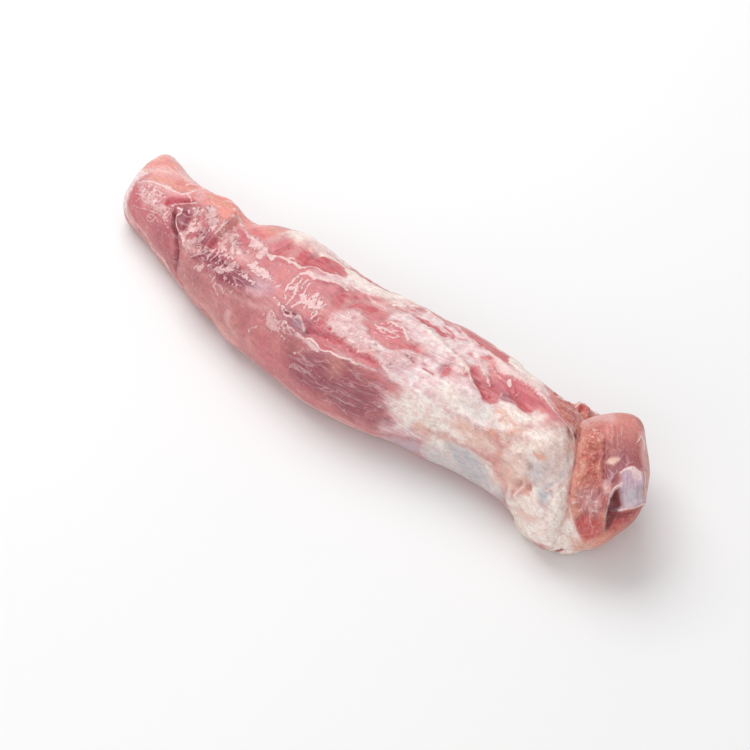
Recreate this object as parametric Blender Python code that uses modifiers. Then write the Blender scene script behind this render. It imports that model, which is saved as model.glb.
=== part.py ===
"""A raw pork tenderloin lying on its flat side, as one solid.

Metres, +Z up. +X runs from the thin tail to the thick head, and +Y is the far flank. The origin is on
the surface that the meat lies on, under the middle of its box. The sizes below are in millimetres and
are turned into metres by MM where a vertex is placed.
"""

import math

import bmesh
import bpy
from mathutils import Matrix, Vector, noise

MM = 0.001
NAME = "tenderloin"

# Sections of the long muscle: place along X, middle along Y, half width, height
SECTIONS = (
    (-162, 15.5, 21.0, 20),
    (-150, 12.0, 20.8, 24),
    (-130, 6.5, 20.0, 28),
    (-105, 1.0, 22.0, 31),
    (-75, -1.5, 28.0, 35),
    (-40, -3.5, 32.0, 38),
    (0, -4.5, 32.5, 40),
    (40, 0.5, 29.5, 42),
    (75, 1.5, 25.0, 43),
    (100, -2.0, 27.5, 43),
    (120, -5.0, 29.5, 40),
)
TAIL_END = -163
HEAD_END = 115
TAIL_CAP = 13
HEAD_CAP = 19
TAIL_POWER = 2.8
HEAD_POWER = 2.4
CAP_RINGS = 4
MUSCLE_RINGS = 30
MUSCLE_SIDES = 28

# A section is a superellipse above its widest point and a squarer one below it, cut flat by the floor
WIDEST_SHARE = 0.42
UPPER_POWER = 2.2
LOWER_POWER = 2.8
SINK = 2.0

# Both ends are cut askew: how far X slides for each millimetre across, and where the slide begins
TAIL_SKEW = -0.2
HEAD_SKEW = -0.42
TAIL_SKEW_FROM = -100
HEAD_SKEW_FROM = 50
SKEW_LENGTH = 50

# Relief on the long muscle: place along X, angle round the section (0 far side, 90 top, 180 near side),
# half length along X, half width round the section, height outwards
RELIEF = (
    (-107, 40, 9, 12, 3.6),
    (-90, 45, 8, 14, -3.4),
    (-113, 125, 5, 16, -1.4),
    (-104, 160, 5, 14, -1.6),
    (-98, 95, 6, 12, 1.2),
    (-62, 42, 15, 14, 3.8),
    (-18, 42, 12, 14, -1.1),
    (-87, 180, 7, 16, 0.9),
    (-74, 180, 5, 12, -0.9),
    (-62, 175, 7, 16, 1.1),
    (-50, 170, 5, 14, -1.0),
    (-14, 118, 24, 6, -0.9),
    (6, 45, 14, 12, 1.0),
    (62, 80, 18, 8, -1.2),
    (40, 52, 16, 5, 1.0),
    (68, 58, 16, 5, 1.6),
    (95, 68, 12, 5, 1.8),
    (106, 112, 8, 12, -2.6),
    (99, 145, 8, 12, -2.2),
    (91, 150, 5, 6, -1.4),
    (60, 38, 14, 14, 0.6),
    (106, 205, 11, 14, 3.0),
)
MEAN_RADIUS = 28

# The other lumps: middle along X and Y, half sizes, turn about Z, power, slide of X with height, and the
# cage's sides and rings. The lobe closes the head, the strip runs along its far side and the pad of fat
# fills the near corner between the lobe and the long muscle.
LOBE = {
    "middle": (116.6, 3.6), "half": (18.5, 29.3, 21.5), "turn": 0.66, "power": 2.8, "lean": 0.34,
    "sides": 18, "rings": 12,
}
STRIP = {
    "middle": (88, 22.6), "half": (21, 12.5, 12.5), "turn": 0.42, "power": 2.3, "lean": 0.0,
    "sides": 14, "rings": 8,
}
PAD = {
    "middle": (111.5, -14.5), "half": (17, 14.0, 12), "turn": 0.15, "power": 2.6, "lean": 0.0,
    "sides": 14, "rings": 8,
}
LUMP_SINK = 2.5

# Relief on the lobe: a point in its own turned frame, as shares of its half sizes, then radius, height
LOBE_RELIEF = (
    ((0.55, -0.55, 0.05), 9, -2.5),
    ((0.15, -0.80, -0.35), 7, -1.0),
    ((0.80, -0.75, -0.55), 10, -3.5),
    ((0.85, -0.10, 0.10), 9, 1.2),
    ((-0.30, 0.35, 0.95), 9, 1.0),
    ((-0.50, 0.85, 0.60), 10, -2.0),
    ((0.70, 0.75, 0.60), 8, 1.8),
)

# Slow unevenness of every surface
UNEVEN_HEIGHT = 0.9
UNEVEN_SIZE = 17

# Side of the block, in metres, whose top is the floor that cuts the flat side
FLOOR_BLOCK = 1

MEAT_COLOUR = (0.62, 0.33, 0.32, 1)
MEAT_ROUGHNESS = 0.35


def clear_scene():
    for existing in list(bpy.data.objects):
        bpy.data.objects.remove(existing, do_unlink=True)


def new_collection(name):
    collection = bpy.data.collections.new(name)
    bpy.context.scene.collection.children.link(collection)
    return collection


def signed_power(value, power):
    return math.copysign(abs(value) ** power, value)


def smooth_step(value):
    value = min(max(value, 0), 1)
    return value * value * (3 - 2 * value)


def slope(column, index):
    """The table's slope at a section, from the sections on both sides of it."""
    before = SECTIONS[max(index - 1, 0)]
    after = SECTIONS[min(index + 1, len(SECTIONS) - 1)]
    return (after[column] - before[column]) / (after[0] - before[0])


def section_at(x):
    """Middle, half width and height at x, by cubic curves through the sections."""
    index = 0
    while index < len(SECTIONS) - 2 and x > SECTIONS[index + 1][0]:
        index += 1
    start = SECTIONS[index]
    end = SECTIONS[index + 1]
    span = end[0] - start[0]
    t = min(max((x - start[0]) / span, 0), 1)
    values = []
    for column in (1, 2, 3):
        values.append(
            start[column] * (2 * t**3 - 3 * t**2 + 1)
            + slope(column, index) * span * (t**3 - 2 * t**2 + t)
            + end[column] * (3 * t**2 - 2 * t**3)
            + slope(column, index + 1) * span * (t**3 - t**2)
        )
    return values


def place_along(share):
    """X and the size of the section, 0 to 1, at a share of the rings from tail to head."""
    cap_share = CAP_RINGS / MUSCLE_RINGS
    if share < cap_share:
        angle = share / cap_share * math.pi / 2
        x = TAIL_END + TAIL_CAP * (1 - abs(math.cos(angle)) ** (2 / TAIL_POWER))
        return x, abs(math.sin(angle)) ** (2 / TAIL_POWER)
    if share > 1 - cap_share:
        angle = (1 - share) / cap_share * math.pi / 2
        x = HEAD_END - HEAD_CAP * (1 - abs(math.cos(angle)) ** (2 / HEAD_POWER))
        return x, abs(math.sin(angle)) ** (2 / HEAD_POWER)
    t = (share - cap_share) / (1 - 2 * cap_share)
    return TAIL_END + TAIL_CAP + t * (HEAD_END - HEAD_CAP - TAIL_END - TAIL_CAP), 1


def unevenness(point):
    return UNEVEN_HEIGHT * noise.noise(Vector(point) / UNEVEN_SIZE)


def relief_at(x, angle):
    height = 0
    for place, degrees, length, width, top in RELIEF:
        turn = (math.degrees(angle) - degrees + 180) % 360 - 180
        arc = math.radians(turn) * MEAN_RADIUS
        height += top * math.exp(-(((x - place) / length) ** 2) - (arc / width) ** 2)
    return height


def muscle_point(share, angle):
    x, size = place_along(share)
    middle, half_width, height = section_at(x)
    widest = WIDEST_SHARE * height
    sine = math.sin(angle)
    if sine >= 0:
        across = half_width * signed_power(math.cos(angle), 2 / UPPER_POWER)
        rise = (height - widest) * sine ** (2 / UPPER_POWER)
    else:
        across = half_width * signed_power(math.cos(angle), 2 / LOWER_POWER)
        rise = -(widest + SINK) * abs(sine) ** (2 / LOWER_POWER)
    outwards = Vector((across, rise))
    if outwards.length > 0:
        height = relief_at(x, angle) + unevenness((x, outwards.x, outwards.y))
        outwards += outwards.normalized() * height
    outwards *= size
    skew = TAIL_SKEW * smooth_step((TAIL_SKEW_FROM - x) / SKEW_LENGTH)
    skew += HEAD_SKEW * smooth_step((x - HEAD_SKEW_FROM) / SKEW_LENGTH)
    return Vector((x + skew * outwards.x, middle + outwards.x, widest + outwards.y)) * MM


def lump_point(shape, direction, relief=()):
    """A superellipsoid's point: direction is the one on a unit ball, the lean slides X with height."""
    level = math.sqrt(max(1 - direction.z**2, 0))
    turn = math.atan2(direction.y, direction.x)
    power = 2 / shape["power"]
    local = Vector(
        (
            level**power * signed_power(math.cos(turn), power),
            level**power * signed_power(math.sin(turn), power),
            signed_power(direction.z, power),
        )
    )
    half = Vector(shape["half"])
    point = local * half
    for spot, radius, height in relief:
        distance = (point - Vector(spot) * half).length
        point += local.normalized() * height * math.exp(-((distance / radius) ** 2))
    point += local.normalized() * unevenness(point + Vector((*shape["middle"], 0)))
    point.x += shape["lean"] * point.z
    point = Matrix.Rotation(shape["turn"], 3, "Z") @ point
    middle = Vector((*shape["middle"], half.z - LUMP_SINK))
    return (point + middle) * MM


def ball_mesh(name, sides, rings, point_of):
    """A ball's quads with every vertex moved to point_of(its direction)."""
    shape = bmesh.new()
    bmesh.ops.create_uvsphere(shape, u_segments=sides, v_segments=rings, radius=1)
    for vertex in shape.verts:
        vertex.co = point_of(vertex.co.normalized())
    bmesh.ops.recalc_face_normals(shape, faces=shape.faces)
    mesh = bpy.data.meshes.new(name)
    shape.to_mesh(mesh)
    shape.free()
    return mesh


def soft_object(name, mesh, collection):
    body = bpy.data.objects.new(name, mesh)
    collection.objects.link(body)
    soft = body.modifiers.new("soft", "SUBSURF")
    soft.levels = 1
    soft.render_levels = 1
    return body


def muscle_direction(direction):
    """Latitude on the ball gives the place along the muscle, longitude the angle round it."""
    share = math.asin(min(max(direction.z, -1), 1)) / math.pi + 0.5
    return muscle_point(share, math.atan2(direction.y, direction.x))


def lump_object(name, shape, collection, relief=()):
    def point_of(direction):
        return lump_point(shape, direction, relief)

    mesh = ball_mesh(name, shape["sides"], shape["rings"], point_of)
    return soft_object(name, mesh, collection)


def apply_modifiers(body):
    """Keep the shape that the modifiers give, as a plain mesh."""
    bpy.context.view_layer.update()
    evaluated = body.evaluated_get(bpy.context.evaluated_depsgraph_get())
    mesh = bpy.data.meshes.new_from_object(evaluated)
    mesh.name = body.name
    body.modifiers.clear()
    body.data = mesh


def fuse(body, collection):
    """Join every object of the collection to the body, then remove them."""
    union = body.modifiers.new("fused", "BOOLEAN")
    union.operation = "UNION"
    union.operand_type = "COLLECTION"
    union.collection = collection
    union.solver = "EXACT"
    apply_modifiers(body)
    for joined in list(collection.objects):
        bpy.data.objects.remove(joined, do_unlink=True)


def cut_flat(body, collection):
    """Cut away what is under the floor, which leaves the flat side that the meat rests on."""
    block = bmesh.new()
    bmesh.ops.create_cube(block, size=FLOOR_BLOCK)
    bmesh.ops.translate(block, verts=block.verts, vec=(0, 0, -FLOOR_BLOCK / 2))
    mesh = bpy.data.meshes.new("floor")
    block.to_mesh(mesh)
    block.free()
    cutter = bpy.data.objects.new("floor", mesh)
    cutter.display_type = "WIRE"
    cutter.hide_render = True
    collection.objects.link(cutter)
    cut = body.modifiers.new("flat side", "BOOLEAN")
    cut.operation = "DIFFERENCE"
    cut.object = cutter
    apply_modifiers(body)
    bpy.data.objects.remove(cutter, do_unlink=True)


def centre(body):
    """Move the mesh so that the middle of its box is over the origin."""
    along = [vertex.co.x for vertex in body.data.vertices]
    across = [vertex.co.y for vertex in body.data.vertices]
    middle = Vector(((min(along) + max(along)) / 2, (min(across) + max(across)) / 2, 0))
    body.data.transform(Matrix.Translation(-middle))


def meat_material():
    material = bpy.data.materials.new("raw meat")
    material.use_nodes = True
    shader = material.node_tree.nodes["Principled BSDF"]
    shader.inputs["Base Color"].default_value = MEAT_COLOUR
    shader.inputs["Roughness"].default_value = MEAT_ROUGHNESS
    shader.inputs["Metallic"].default_value = 0
    return material


def build():
    clear_scene()
    kept = new_collection(NAME)
    joined = new_collection("joined lumps")
    cutters = new_collection("cutters")
    muscle = soft_object(NAME, ball_mesh(NAME, MUSCLE_SIDES, MUSCLE_RINGS, muscle_direction), kept)
    lump_object("head lobe", LOBE, joined, LOBE_RELIEF)
    lump_object("side strip", STRIP, joined)
    lump_object("fat pad", PAD, joined)
    fuse(muscle, joined)
    cut_flat(muscle, cutters)
    centre(muscle)
    muscle.data.materials.clear()
    muscle.data.materials.append(meat_material())
    muscle.data.shade_smooth()


build()
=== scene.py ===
"""The look of a raw pork tenderloin that lies on its flat side.

Sizes are in millimetres, in a frame whose X runs along the long muscle from the thin tail to the thick
head and whose Y points to the far flank. MOVE takes that frame to the origin that the solid has.
Strokes on the long muscle are placed by x along it and the way round its section: 0 is the far side, 44
the top and 88 the near side. Strokes on the other lumps are placed on a flat chart, seen square on from
the near side at VIEW_TURN and VIEW_RISE.
"""

import math
from types import SimpleNamespace

import bmesh
import bpy
import numpy as np
from mathutils import Matrix, Vector, noise


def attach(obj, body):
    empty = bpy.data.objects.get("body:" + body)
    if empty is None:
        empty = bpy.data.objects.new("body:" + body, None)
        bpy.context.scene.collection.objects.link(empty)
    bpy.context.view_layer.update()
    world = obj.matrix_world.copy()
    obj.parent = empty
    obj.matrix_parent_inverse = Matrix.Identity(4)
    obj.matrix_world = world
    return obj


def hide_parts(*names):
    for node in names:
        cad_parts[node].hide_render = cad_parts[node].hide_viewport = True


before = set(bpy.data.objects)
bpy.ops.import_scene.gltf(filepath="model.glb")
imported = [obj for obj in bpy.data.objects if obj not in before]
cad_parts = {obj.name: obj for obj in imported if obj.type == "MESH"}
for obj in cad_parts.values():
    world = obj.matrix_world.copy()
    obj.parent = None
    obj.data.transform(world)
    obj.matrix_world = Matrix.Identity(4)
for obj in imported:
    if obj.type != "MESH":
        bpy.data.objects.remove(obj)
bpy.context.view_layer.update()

MM = 0.001
MOVE = Vector((10.876, 0.353, 0))

# Sections of the long muscle: place along X, middle along Y, half width, height
SECTIONS = np.array((
    (-162, 15.5, 21.0, 20), (-150, 12.0, 20.8, 24), (-130, 6.5, 20.0, 28), (-105, 1.0, 22.0, 31),
    (-75, -1.5, 28.0, 35), (-40, -3.5, 32.0, 38), (0, -4.5, 32.5, 40), (40, 0.5, 29.5, 42),
    (75, 1.5, 25.0, 43), (100, -2.0, 27.5, 43), (120, -5.0, 29.5, 40),
))
TAIL_END, HEAD_END = -163, 115
TAIL_CAP, HEAD_CAP = 13, 19
TAIL_POWER, HEAD_POWER = 2.8, 2.4
CAP_SHARE = 0.075
WIDEST_SHARE = 0.42
UPPER_POWER, LOWER_POWER = 2.2, 2.8
SINK = 2.0
TAIL_SKEW, HEAD_SKEW = -0.2, -0.42
TAIL_SKEW_FROM, HEAD_SKEW_FROM, SKEW_LENGTH = -100, 50, 50
MEAN_RADIUS = 28
MUSCLE_SIDES, MUSCLE_RINGS = 204, 484
# The sides crowd towards this angle, where the photo looks, by this share
CROWDED_ANGLE, CROWDING = 112, 0.45

# Broad relief on the long muscle: x, angle, half length, half width round the section, height
RELIEF = (
    (-107, 40, 9, 12, 3.6), (-90, 45, 8, 14, -3.4), (-113, 125, 5, 16, -1.4), (-104, 160, 5, 14, -1.6),
    (-98, 95, 6, 12, 1.2), (-62, 42, 15, 14, 3.8), (-18, 42, 12, 14, -1.1), (-87, 180, 7, 16, 0.9),
    (-74, 180, 5, 12, -0.9), (-62, 175, 7, 16, 1.1), (-50, 170, 5, 14, -1.0), (-14, 118, 24, 6, -0.9),
    (6, 45, 14, 12, 1.0), (62, 80, 18, 8, -1.2), (40, 52, 16, 5, 1.0), (68, 58, 16, 5, 1.6),
    (95, 68, 12, 5, 1.8), (106, 112, 8, 12, -2.6), (99, 145, 8, 12, -2.2), (91, 150, 5, 6, -1.4),
    (60, 38, 14, 14, 0.6), (106, 205, 11, 14, 3.0),
)
UNEVEN_HEIGHT, UNEVEN_SIZE = 0.9, 17

# The other lumps: turn is about Z, lean slides X with height, and rest is where the underside is flat.
# Relief is a place as a share of the half sizes, a radius and a height
LOBE = {
    "middle": (116.6, 3.6), "half": (18.5, 29.3, 21.5), "turn": 0.66, "power": 2.8, "lean": 0.34,
    "rest": 0.3, "sides": 300, "rings": 180, "relief": (
        ((0.55, -0.55, 0.05), 9, -2.5), ((0.15, -0.80, -0.35), 7, -1.0), ((0.82, -0.70, -0.50), 10, -5.6),
        ((0.85, -0.10, 0.10), 9, 1.2), ((-0.30, 0.35, 0.95), 9, 1.0), ((-0.50, 0.85, 0.60), 10, -2.0),
        ((0.70, 0.75, 0.60), 8, 1.8),
    ),
}
STRIP = {
    "middle": (88, 22.6), "half": (21, 12.5, 12.5), "turn": 0.42, "power": 2.3, "lean": 0.0,
    "rest": 0.4, "sides": 200, "rings": 120, "relief": (),
}
PAD = {
    "middle": (111.5, -14.5), "half": (17, 14.0, 12), "turn": 0.15, "power": 2.6, "lean": 0.0,
    "rest": 0.5, "sides": 180, "rings": 110, "relief": (),
}
LUMP_SINK = 2.5

# The direction that the photo and the charts of the lumps are seen from, in degrees
VIEW_TURN, VIEW_RISE = 40, 51
# Strokes on a lump fade where its surface turns away: cosine where they end, and how fast they rise
FACING_END, FACING_RISE = -0.35, 3

# The near flank, where its strokes come on the far one, and how far along they move
NEAR_FLANK, FAR_TURN, FAR_SHIFT = 56, 78, -9
# Strokes wander by this much, in waves of this size and finer ones
MUSCLE_WANDER, LUMP_WANDER = 0.8, 0.5
WANDER_SIZE, FINER_WANDER, FINER_SHARE = 5, 3, 0.5
WANDER_SEEDS, FINER_SEEDS = (11, 12), (13, 14)
# A line keeps its strength to a third of its half width and then falls
LINE_TOP, LINE_FALL = 1.25, 0.75
# A ridge counts as far as this many half widths, a step this many reaches, and both taper at their ends
RIDGE_REACH, RIDGE_TAPER, RIDGE_END = 3, 2, 0.2
STEP_REACH, STEP_TAPER, STEP_EDGE = 2.5, 6, 0.9

# Finishes that the strokes lay on, and how far each stands proud of the surface or sinks into it
# Several of them paint light: the film flakes and glints are painted highlights, the pale finish lightens
# shaded spots, the milky film carries painted sheen, and the dark and blue ones are partly painted shade
HEIGHTS = {
    "salmon": 0, "rose": 0, "purple": 0, "pale": 0, "lilac": 0, "veil_and_sheen": 0.2, "fat": 0.35, "amber": -0.2,
    "blue": -0.2, "red": -0.35, "thread_and_glint": 0.25, "dark": -0.5, "film_and_highlight": 0, "grainy": 0,
}

# Small relief: its height, and the sizes of its waves or how many fit in a millimetre along the grain
# and across it
CREASE_HEIGHT, CREASES, FINE_CREASES, FINE_CREASE_SHARE = 0.2, (0.42, 0.13, 0.13), (0.9, 0.35, 0.35), 0.4
LUMP_HEIGHT, LUMP_SIZE, FINE_LUMP_SIZE, FINE_LUMP_SHARE = 0.3, 4, 2, 0.5
GRAIN_HEIGHT, GRAIN_SIZE, FINE_GRAIN_SIZE, FINE_GRAIN_SHARE = 0.25, 1.8, 0.9, 0.7
SLOW_HEIGHT, SLOW_WAVES = 0.35, (0.05, 0.12, 0.12)
# Large primes and shifts that scatter the cells of the noise, and the numbers that it keeps
CELL_PRIMES = np.array((73856093, 19349663, 83492791))
SEED_PRIME, FIRST_PRIME, SECOND_PRIME = 6542989, 1274126177, 668265263
FIRST_SHIFT, SECOND_SHIFT = 13, 16
KEPT_BITS, HALF_RANGE = 0xFFFFFFFF, 2**31

# Camera, floor and light, in metres and watts
CAMERA_TARGET = Vector((0.0104, 0.0007, 0))
CAMERA_DISTANCE, CAMERA_REACH = 0.8, 20
LENS, SENSOR = 85, 36
FLOOR_HALF = 4
FLOOR_COLOUR, FLOOR_ROUGHNESS, FLOOR_SHINE = (0.9, 0.9, 0.9, 1), 0.7, 0.1
WORLD_STRENGTH = 0.54
LAMP_DISTANCE, LAMP_SIZE = 1.2, (1.0, 0.8)
SOFTBOX_FROM, SOFTBOX_POWER = (-0.5, 0.25, 0.83), 9.5
FILL_FROM, FILL_POWER = (0.25, -0.8, 0.5), 3

# Strokes, placed over the photo and turned into places on the surface. Areas are a soft edge, a
# strength and corners, and lines a half width, a strength and points. Ridges are a half width, a height
# and points, and steps a reach, a height and points, raised on the left
AREAS, LINES, RIDGES, STEPS = {}, {}, {}, {}
# Milky silver skin; on the middle of the top it also carries the painted sheen of the wet membrane
AREAS["long_muscle", "veil_and_sheen"] = (
    (4, 1, (9, 30), (13, 21.5), (24, 25), (28.5, 20), (45, 30), (76.5, 33), (68.5, 35.5), (54.5, 34),
        (48, 43), (36, 41.5), (29, 38), (12.5, 34.5)),
    (5, 1.1, (26.5, 57), (54, 46.5), (63, 52.5), (70, 47.5), (83.5, 47), (72.5, 62.5), (34, 60.5)),
    (2, 0.95, (-34.5, 34), (-28.5, 32), (-26, 25), (-19, 23.5), (-8.5, 27.5), (-9, 31.5), (-12.5, 32.5),
        (-16.5, 31.5), (-20, 34.5), (-24, 34.5), (-34.5, 39)),
    (2, 0.7, (-26, 25), (-22, 18.5), (-4, 26), (-3, 30), (-7, 31.5), (-16.5, 27.5)),
    (2, 0.75, (-17, 46), (-7, 41), (-2.5, 43.5), (-6, 45), (-11.5, 46)),
    (1, 0.6, (-16, 51.5), (-17.5, 47), (-11, 43), (-7, 41.5), (1.5, 45.5), (10.5, 48.5), (14.5, 49),
        (18.5, 48.5), (21, 46), (27, 46.5), (29, 51.5), (27.5, 55), (20, 57), (12.5, 56), (10, 56.5),
        (6, 56.5), (-2, 55), (-14, 54)),
    (2, 0.85, (2.5, 35), (9, 29), (18.5, 34), (32, 33.5), (41.5, 44.5), (39.5, 47), (24, 43.5),
        (20.5, 43.5), (14.5, 40), (4.5, 38.5)),
    (2, 0.9, (27, 46.5), (33, 45.5), (39, 47), (41.5, 51.5), (47, 51), (56, 66), (44, 68), (24, 61),
        (20, 58), (27, 56.5), (29.5, 52)),
    (1.4, 0.45, (-18.5, 60.5), (-15.5, 59.5), (-13, 61), (-7.5, 62), (-3.5, 61), (-5, 62.5), (-9.5, 62.5),
        (-16.5, 61.5)),
    (1.6, 0.75, (-7.5, 59), (-3.5, 58), (15.5, 60), (19, 59.5), (17.5, 61.5), (-2.5, 61)),
    (4, 0.75, (18, 66), (22.5, 64), (31.5, 66.5), (41.5, 66.5), (47, 85.5), (29, 92), (27.5, 85.5),
        (33, 81.5), (31, 77.5), (26.5, 77), (25.5, 70.5)),
    (5, 1.1, (41.5, 57.5), (50.5, 49), (65, 49), (76.5, 54), (73.5, 63.5), (63.5, 68), (53.5, 66.5)),
    (4, 0.8, (33.5, 80.5), (47.5, 75.5), (54, 79), (52.5, 86.5), (34.5, 87.5)),
    (3, 0.5, (-17, 30.5), (-5.5, 29.5), (5, 25), (14, 27), (9, 36.5), (0.5, 39), (-9, 37)),
    (6, 0.32, (-24, 72), (-16, 62.5), (5.5, 61), (26, 68), (28.5, 82), (10, 88), (-11.5, 84)),
    (1.6, 0.9, (-159, 32.5), (-162, 42.5), (-152.5, 42.5), (-148.5, 41), (-153.5, 52.5), (-154.5, 61),
        (-154.5, 68), (-152, 76.5), (-150, 86.5), (-158.5, 82.5), (-160.5, 64), (-161, 48.5)),
    (2, 0.85, (-42.5, 38.5), (-26, 31.5), (-23, 34.5), (-35.5, 39.5)),
)
AREAS["long_muscle", "red"] = (
    (0.8, 1, (10.5, 29), (18, 29.5), (21.5, 30.5), (21.5, 32), (13, 30.5)),
    (0.8, 1, (33, 32.5), (34.5, 32), (36.5, 32.5), (35.5, 33.5)),
    (0.9, 1, (28.5, 20), (29.5, 16), (37.5, 19), (46.5, 21.5), (57.5, 25), (60.5, 29.5), (58, 30.5),
        (49.5, 30), (37, 28), (32, 25.5)),
    (0.8, 0.9, (33, 30.5), (37.5, 29.5), (40, 30), (35, 31.5)),
    (0.8, 0.9, (48, 35), (51, 32), (54.5, 32), (54.5, 34.5), (49.5, 35.5)),
    (0.8, 0.95, (39.5, 40.5), (38.5, 38.5), (40.5, 39), (41.5, 40.5)),
    (0.9, 0.9, (43.5, 37), (44.5, 35.5), (48.5, 37), (47, 38)),
    (1, 0.75, (48.5, 43), (49, 40.5), (51.5, 40), (57, 45), (55.5, 46), (52, 44.5)),
    (1.2, 1, (66.5, 38), (69.5, 35.5), (76, 34.5), (84.5, 35), (88, 39), (84, 42), (84, 44.5), (81.5, 46),
        (77.5, 46.5), (68, 40.5)),
    (1.2, 1, (73.5, 43.5), (79.5, 41), (83.5, 42.5), (84, 44.5), (81.5, 46.5), (77.5, 46.5)),
    (1.4, 0.72, (80, 37.5), (84, 34.5), (89.5, 36.5), (100, 39.5), (92.5, 40.5), (89, 42.5), (84.5, 42)),
    (0.8, 0.85, (31, 48.5), (30, 46.5), (31.5, 47), (33.5, 50), (32, 49.5)),
    (0.8, 0.75, (42, 50.5), (40.5, 45.5), (42.5, 45.5), (43.5, 51)),
    (0.8, 0.9, (49.5, 46.5), (50.5, 45.5), (51.5, 47), (50.5, 47)),
    (1.2, 0.85, (-38.5, 30.5), (-36.5, 25.5), (-32, 26), (-29, 27), (-28, 29.5), (-36.5, 32)),
    (0.9, 1, (-23, 41.5), (-21.5, 38), (-17.5, 37), (-19.5, 39.5), (-17.5, 40.5), (-16, 44.5), (-19.5, 44),
        (-21, 42)),
    (0.9, 0.95, (-18, 36.5), (-16.5, 34.5), (-14, 35), (-14, 37.5), (-16.5, 37.5)),
    (0.9, 1, (-14, 42), (-14, 41), (-11.5, 37), (-9, 37), (-6, 35), (-3.5, 35), (-1.5, 37), (-6, 40),
        (-11, 41), (-12.5, 42.5)),
    (0.8, 1, (11, 30), (13, 29.5), (17, 29.5), (21, 30.5), (21, 32), (15.5, 32.5)),
    (1.2, 0.62, (-0.5, 44), (5.5, 39.5), (10, 39.5), (14, 40.5), (20, 44), (25, 44), (26.5, 46), (19, 46),
        (16.5, 48), (4.5, 46.5)),
    (1, 0.95, (-2.5, 43.5), (1, 44), (3.5, 46), (13, 48), (16.5, 47.5), (17.5, 48.5), (14, 49), (4.5, 47),
        (0.5, 45.5)),
    (0.8, 0.95, (29.5, 47), (34.5, 49.5), (33, 50), (31.5, 49.5)),
    (0.8, 1, (40, 46.5), (43, 44.5), (44.5, 47), (44.5, 50.5), (43.5, 52), (41.5, 50), (41.5, 48.5)),
    (1.2, 0.9, (-21, 53.5), (-19.5, 51), (-17, 51.5), (-15.5, 53), (-16.5, 54), (-19, 55)),
    (1, 1, (-13.5, 58), (-8, 54.5), (-3, 54), (-1.5, 55.5), (-3.5, 57), (-11, 59)),
    (0.8, 1, (0, 56.5), (3.5, 55), (5.5, 56), (5, 57), (2.5, 57.5)),
    (1, 0.9, (6.5, 57.5), (12, 56), (16, 56.5), (19, 58.5), (15.5, 58.5), (8, 58)),
    (1.2, 0.7, (22.5, 66.5), (26, 65), (27, 67), (24.5, 68)),
    (3, 0.6, (-23, 62.5), (-17, 60), (-12, 64.5), (-17.5, 68)),
    (3, 0.5, (-17, 46.5), (-12.5, 44.5), (-7.5, 48.5), (-12.5, 50.5)),
    (3, 0.45, (42.5, 38), (47, 35.5), (49.5, 39.5), (46, 42)),
    (5, 0.3, (-132, 57.5), (-120.5, 47), (-111.5, 51.5), (-119, 62.5)),
    (2, 0.42, (86.5, 26), (96, 16), (103.5, 15), (107, 24), (100.5, 35)),
    (1.5, 1, (-53.5, 36.5), (-51, 32.5), (-45, 29.5), (-31.5, 31), (-34.5, 36), (-49.5, 38)),
    (1.2, 0.5, (49.5, 41), (53.5, 40.5), (64.5, 47), (62.5, 49.5), (57, 47)),
    (1, 1, (55.5, 46), (65, 43.5), (69.5, 48.5), (67.5, 52.5), (63, 52.5), (58, 49.5)),
    (1.5, 0.7, (-20, 60.5), (-16.5, 57.5), (0, 58.5), (-0.5, 61), (-9.5, 63)),
    (1.2, 1, (-53.5, 32.5), (-52.5, 28.5), (-49.5, 29), (-46, 36.5), (-46.5, 39), (-52, 35.5)),
    (1.2, 0.95, (-47, 29.5), (-46, 26), (-42.5, 25), (-39.5, 28), (-41, 32), (-44.5, 32.5)),
    (1.2, 0.85, (-39.5, 28.5), (-37.5, 26), (-33, 24.5), (-30.5, 27.5), (-34.5, 32), (-37.5, 32)),
    (1.2, 0.8, (-62.5, 44), (-60, 42.5), (-59, 44.5), (-60, 45.5)),
    (1.2, 0.95, (-22.5, 40.5), (-21, 39), (-18, 40.5), (-17, 43.5), (-17.5, 44.5), (-19.5, 44), (-20, 42)),
)
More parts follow.
